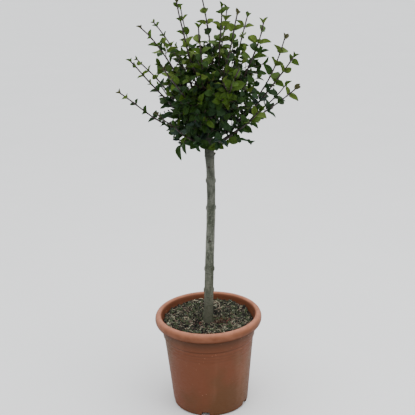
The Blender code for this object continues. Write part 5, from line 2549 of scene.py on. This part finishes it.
@dataclass
class Studio:
    """Pale floor, soft light and the camera at the photograph's angle."""

    camera_place: Triple = (0.00651, -2.02318, 1.20915)
    camera_down: float = 18.2407
    camera_roll: float = -1.76987
    lens: float = 73.204
    sensor: float = 36.0
    floor_size: float = 60.0
    floor_colour: Colour = linear(226, 226, 225)
    floor_clouds: Grain = Grain(3.0, 2.0)
    floor_span: Pair = (0.3, 0.7)
    floor_tone: float = 0.985
    floor_roughness: float = 0.9
    floor_gloss: float = 0.1
    sky_colour: Colour = linear(250, 252, 255)
    horizon_light: float = 0.80
    zenith_light: float = 2.4
    lamps: tuple[tuple[str, Triple, float, float], ...] = (
        ("overhead", (0.5, -0.3, 3.0), 1.6, 30.0),
        ("front_right", (2.4, -1.6, 1.9), 1.4, 14.0),
    )
    lit: Triple = (0.0, 0.0, 0.5)

    def build_floor(self) -> None:
        """Makes the floor, which isn't part of the object."""
        shape = bmesh.new()
        bmesh.ops.create_grid(shape, x_segments=4, y_segments=4, size=self.floor_size / 2)
        mesh = bpy.data.meshes.new("floor")
        shape.to_mesh(mesh)
        shape.free()
        shader = Shader("pale_floor")
        share = shader.between(shader.noise(self.floor_clouds), *self.floor_span)
        base = shader.mix(share, scaled(self.floor_colour, self.floor_tone), self.floor_colour)
        finish = shader.finished(base, self.floor_roughness, self.floor_gloss)
        floor = new_piece("floor", mesh, [finish])

    def build_light(self) -> None:
        """Adds an even sky and the soft lamps: a name, a place, a size and a power for each."""
        world = bpy.data.worlds.new("studio_sky")
        world.use_nodes = True
        sky = world.node_tree.nodes["Background"]
        sky.inputs["Color"].default_value = (*self.sky_colour, 1.0)
        tree = world.node_tree
        heading = tree.nodes.new("ShaderNodeTexCoord")
        parts = tree.nodes.new("ShaderNodeSeparateXYZ")
        rise = tree.nodes.new("ShaderNodeMapRange")
        rise.inputs["To Min"].default_value = self.horizon_light
        rise.inputs["To Max"].default_value = self.zenith_light
        tree.links.new(heading.outputs["Generated"], parts.inputs["Vector"])
        tree.links.new(parts.outputs["Z"], rise.inputs["Value"])
        tree.links.new(rise.outputs["Result"], sky.inputs["Strength"])
        bpy.context.scene.world = world
        for name, place, size, power in self.lamps:
            lamp = bpy.data.lights.new(name, "AREA")
            lamp.shape = "DISK"
            lamp.size = size
            lamp.energy = power
            holder = bpy.data.objects.new(name, lamp)
            holder.location = place
            holder.rotation_mode = "QUATERNION"
            aim = Vector(self.lit) - Vector(place)
            holder.rotation_quaternion = aim.to_track_quat("-Z", "Y")
            bpy.context.scene.collection.objects.link(holder)

    def build_camera(self) -> None:
        """Adds the camera that sees what the photograph shows."""
        data = bpy.data.cameras.new("camera")
        data.lens = self.lens
        data.sensor_width = self.sensor
        camera = bpy.data.objects.new("camera", data)
        tilt = Matrix.Rotation(math.pi / 2 - math.radians(self.camera_down), 4, "X")
        roll = Matrix.Rotation(math.radians(self.camera_roll), 4, "Z")
        camera.matrix_world = Matrix.Translation(self.camera_place) @ tilt @ roll
        bpy.context.scene.collection.objects.link(camera)
        bpy.context.scene.camera = camera


def write_sizes() -> None:
    """Brings the view layer up to date."""
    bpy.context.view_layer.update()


def main() -> None:
    """Builds the studio, the pot, the compost, the trunk and the crown."""
    logging.basicConfig(level=logging.INFO, format="%(message)s")
    studio = Studio()
    studio.build_camera()
    studio.build_floor()
    studio.build_light()
    Pot().build()
    compost = Compost()
    compost.build()
    stem = Stem()
    bark = StemBark().material()
    stem.build(bark)
    crown = Crown(Growth(stem, Vector(studio.camera_place)))
    log.info("%d twigs, %d leaves", len(crown.growth.twigs), len(crown.growth.leaves))
    old_bark = ShootBark("bough_bark", linear(70, 64, 50), linear(40, 35, 27), roughness=0.7)
    twig_bark = ShootBark("twig_bark", linear(62, 48, 38), linear(36, 26, 22), roughness=0.62)
    young_bark = ShootBark("young_bark", linear(50, 34, 34), linear(28, 19, 22))
    crown.build_boughs(old_bark.material())
    crown.build_twigs(twig_bark.material(), young_bark.material())
    crown.build_leaves()
    Litter(compost, CURLED_BLADE).build()
    write_sizes()


if __name__ == "__main__":
    main()
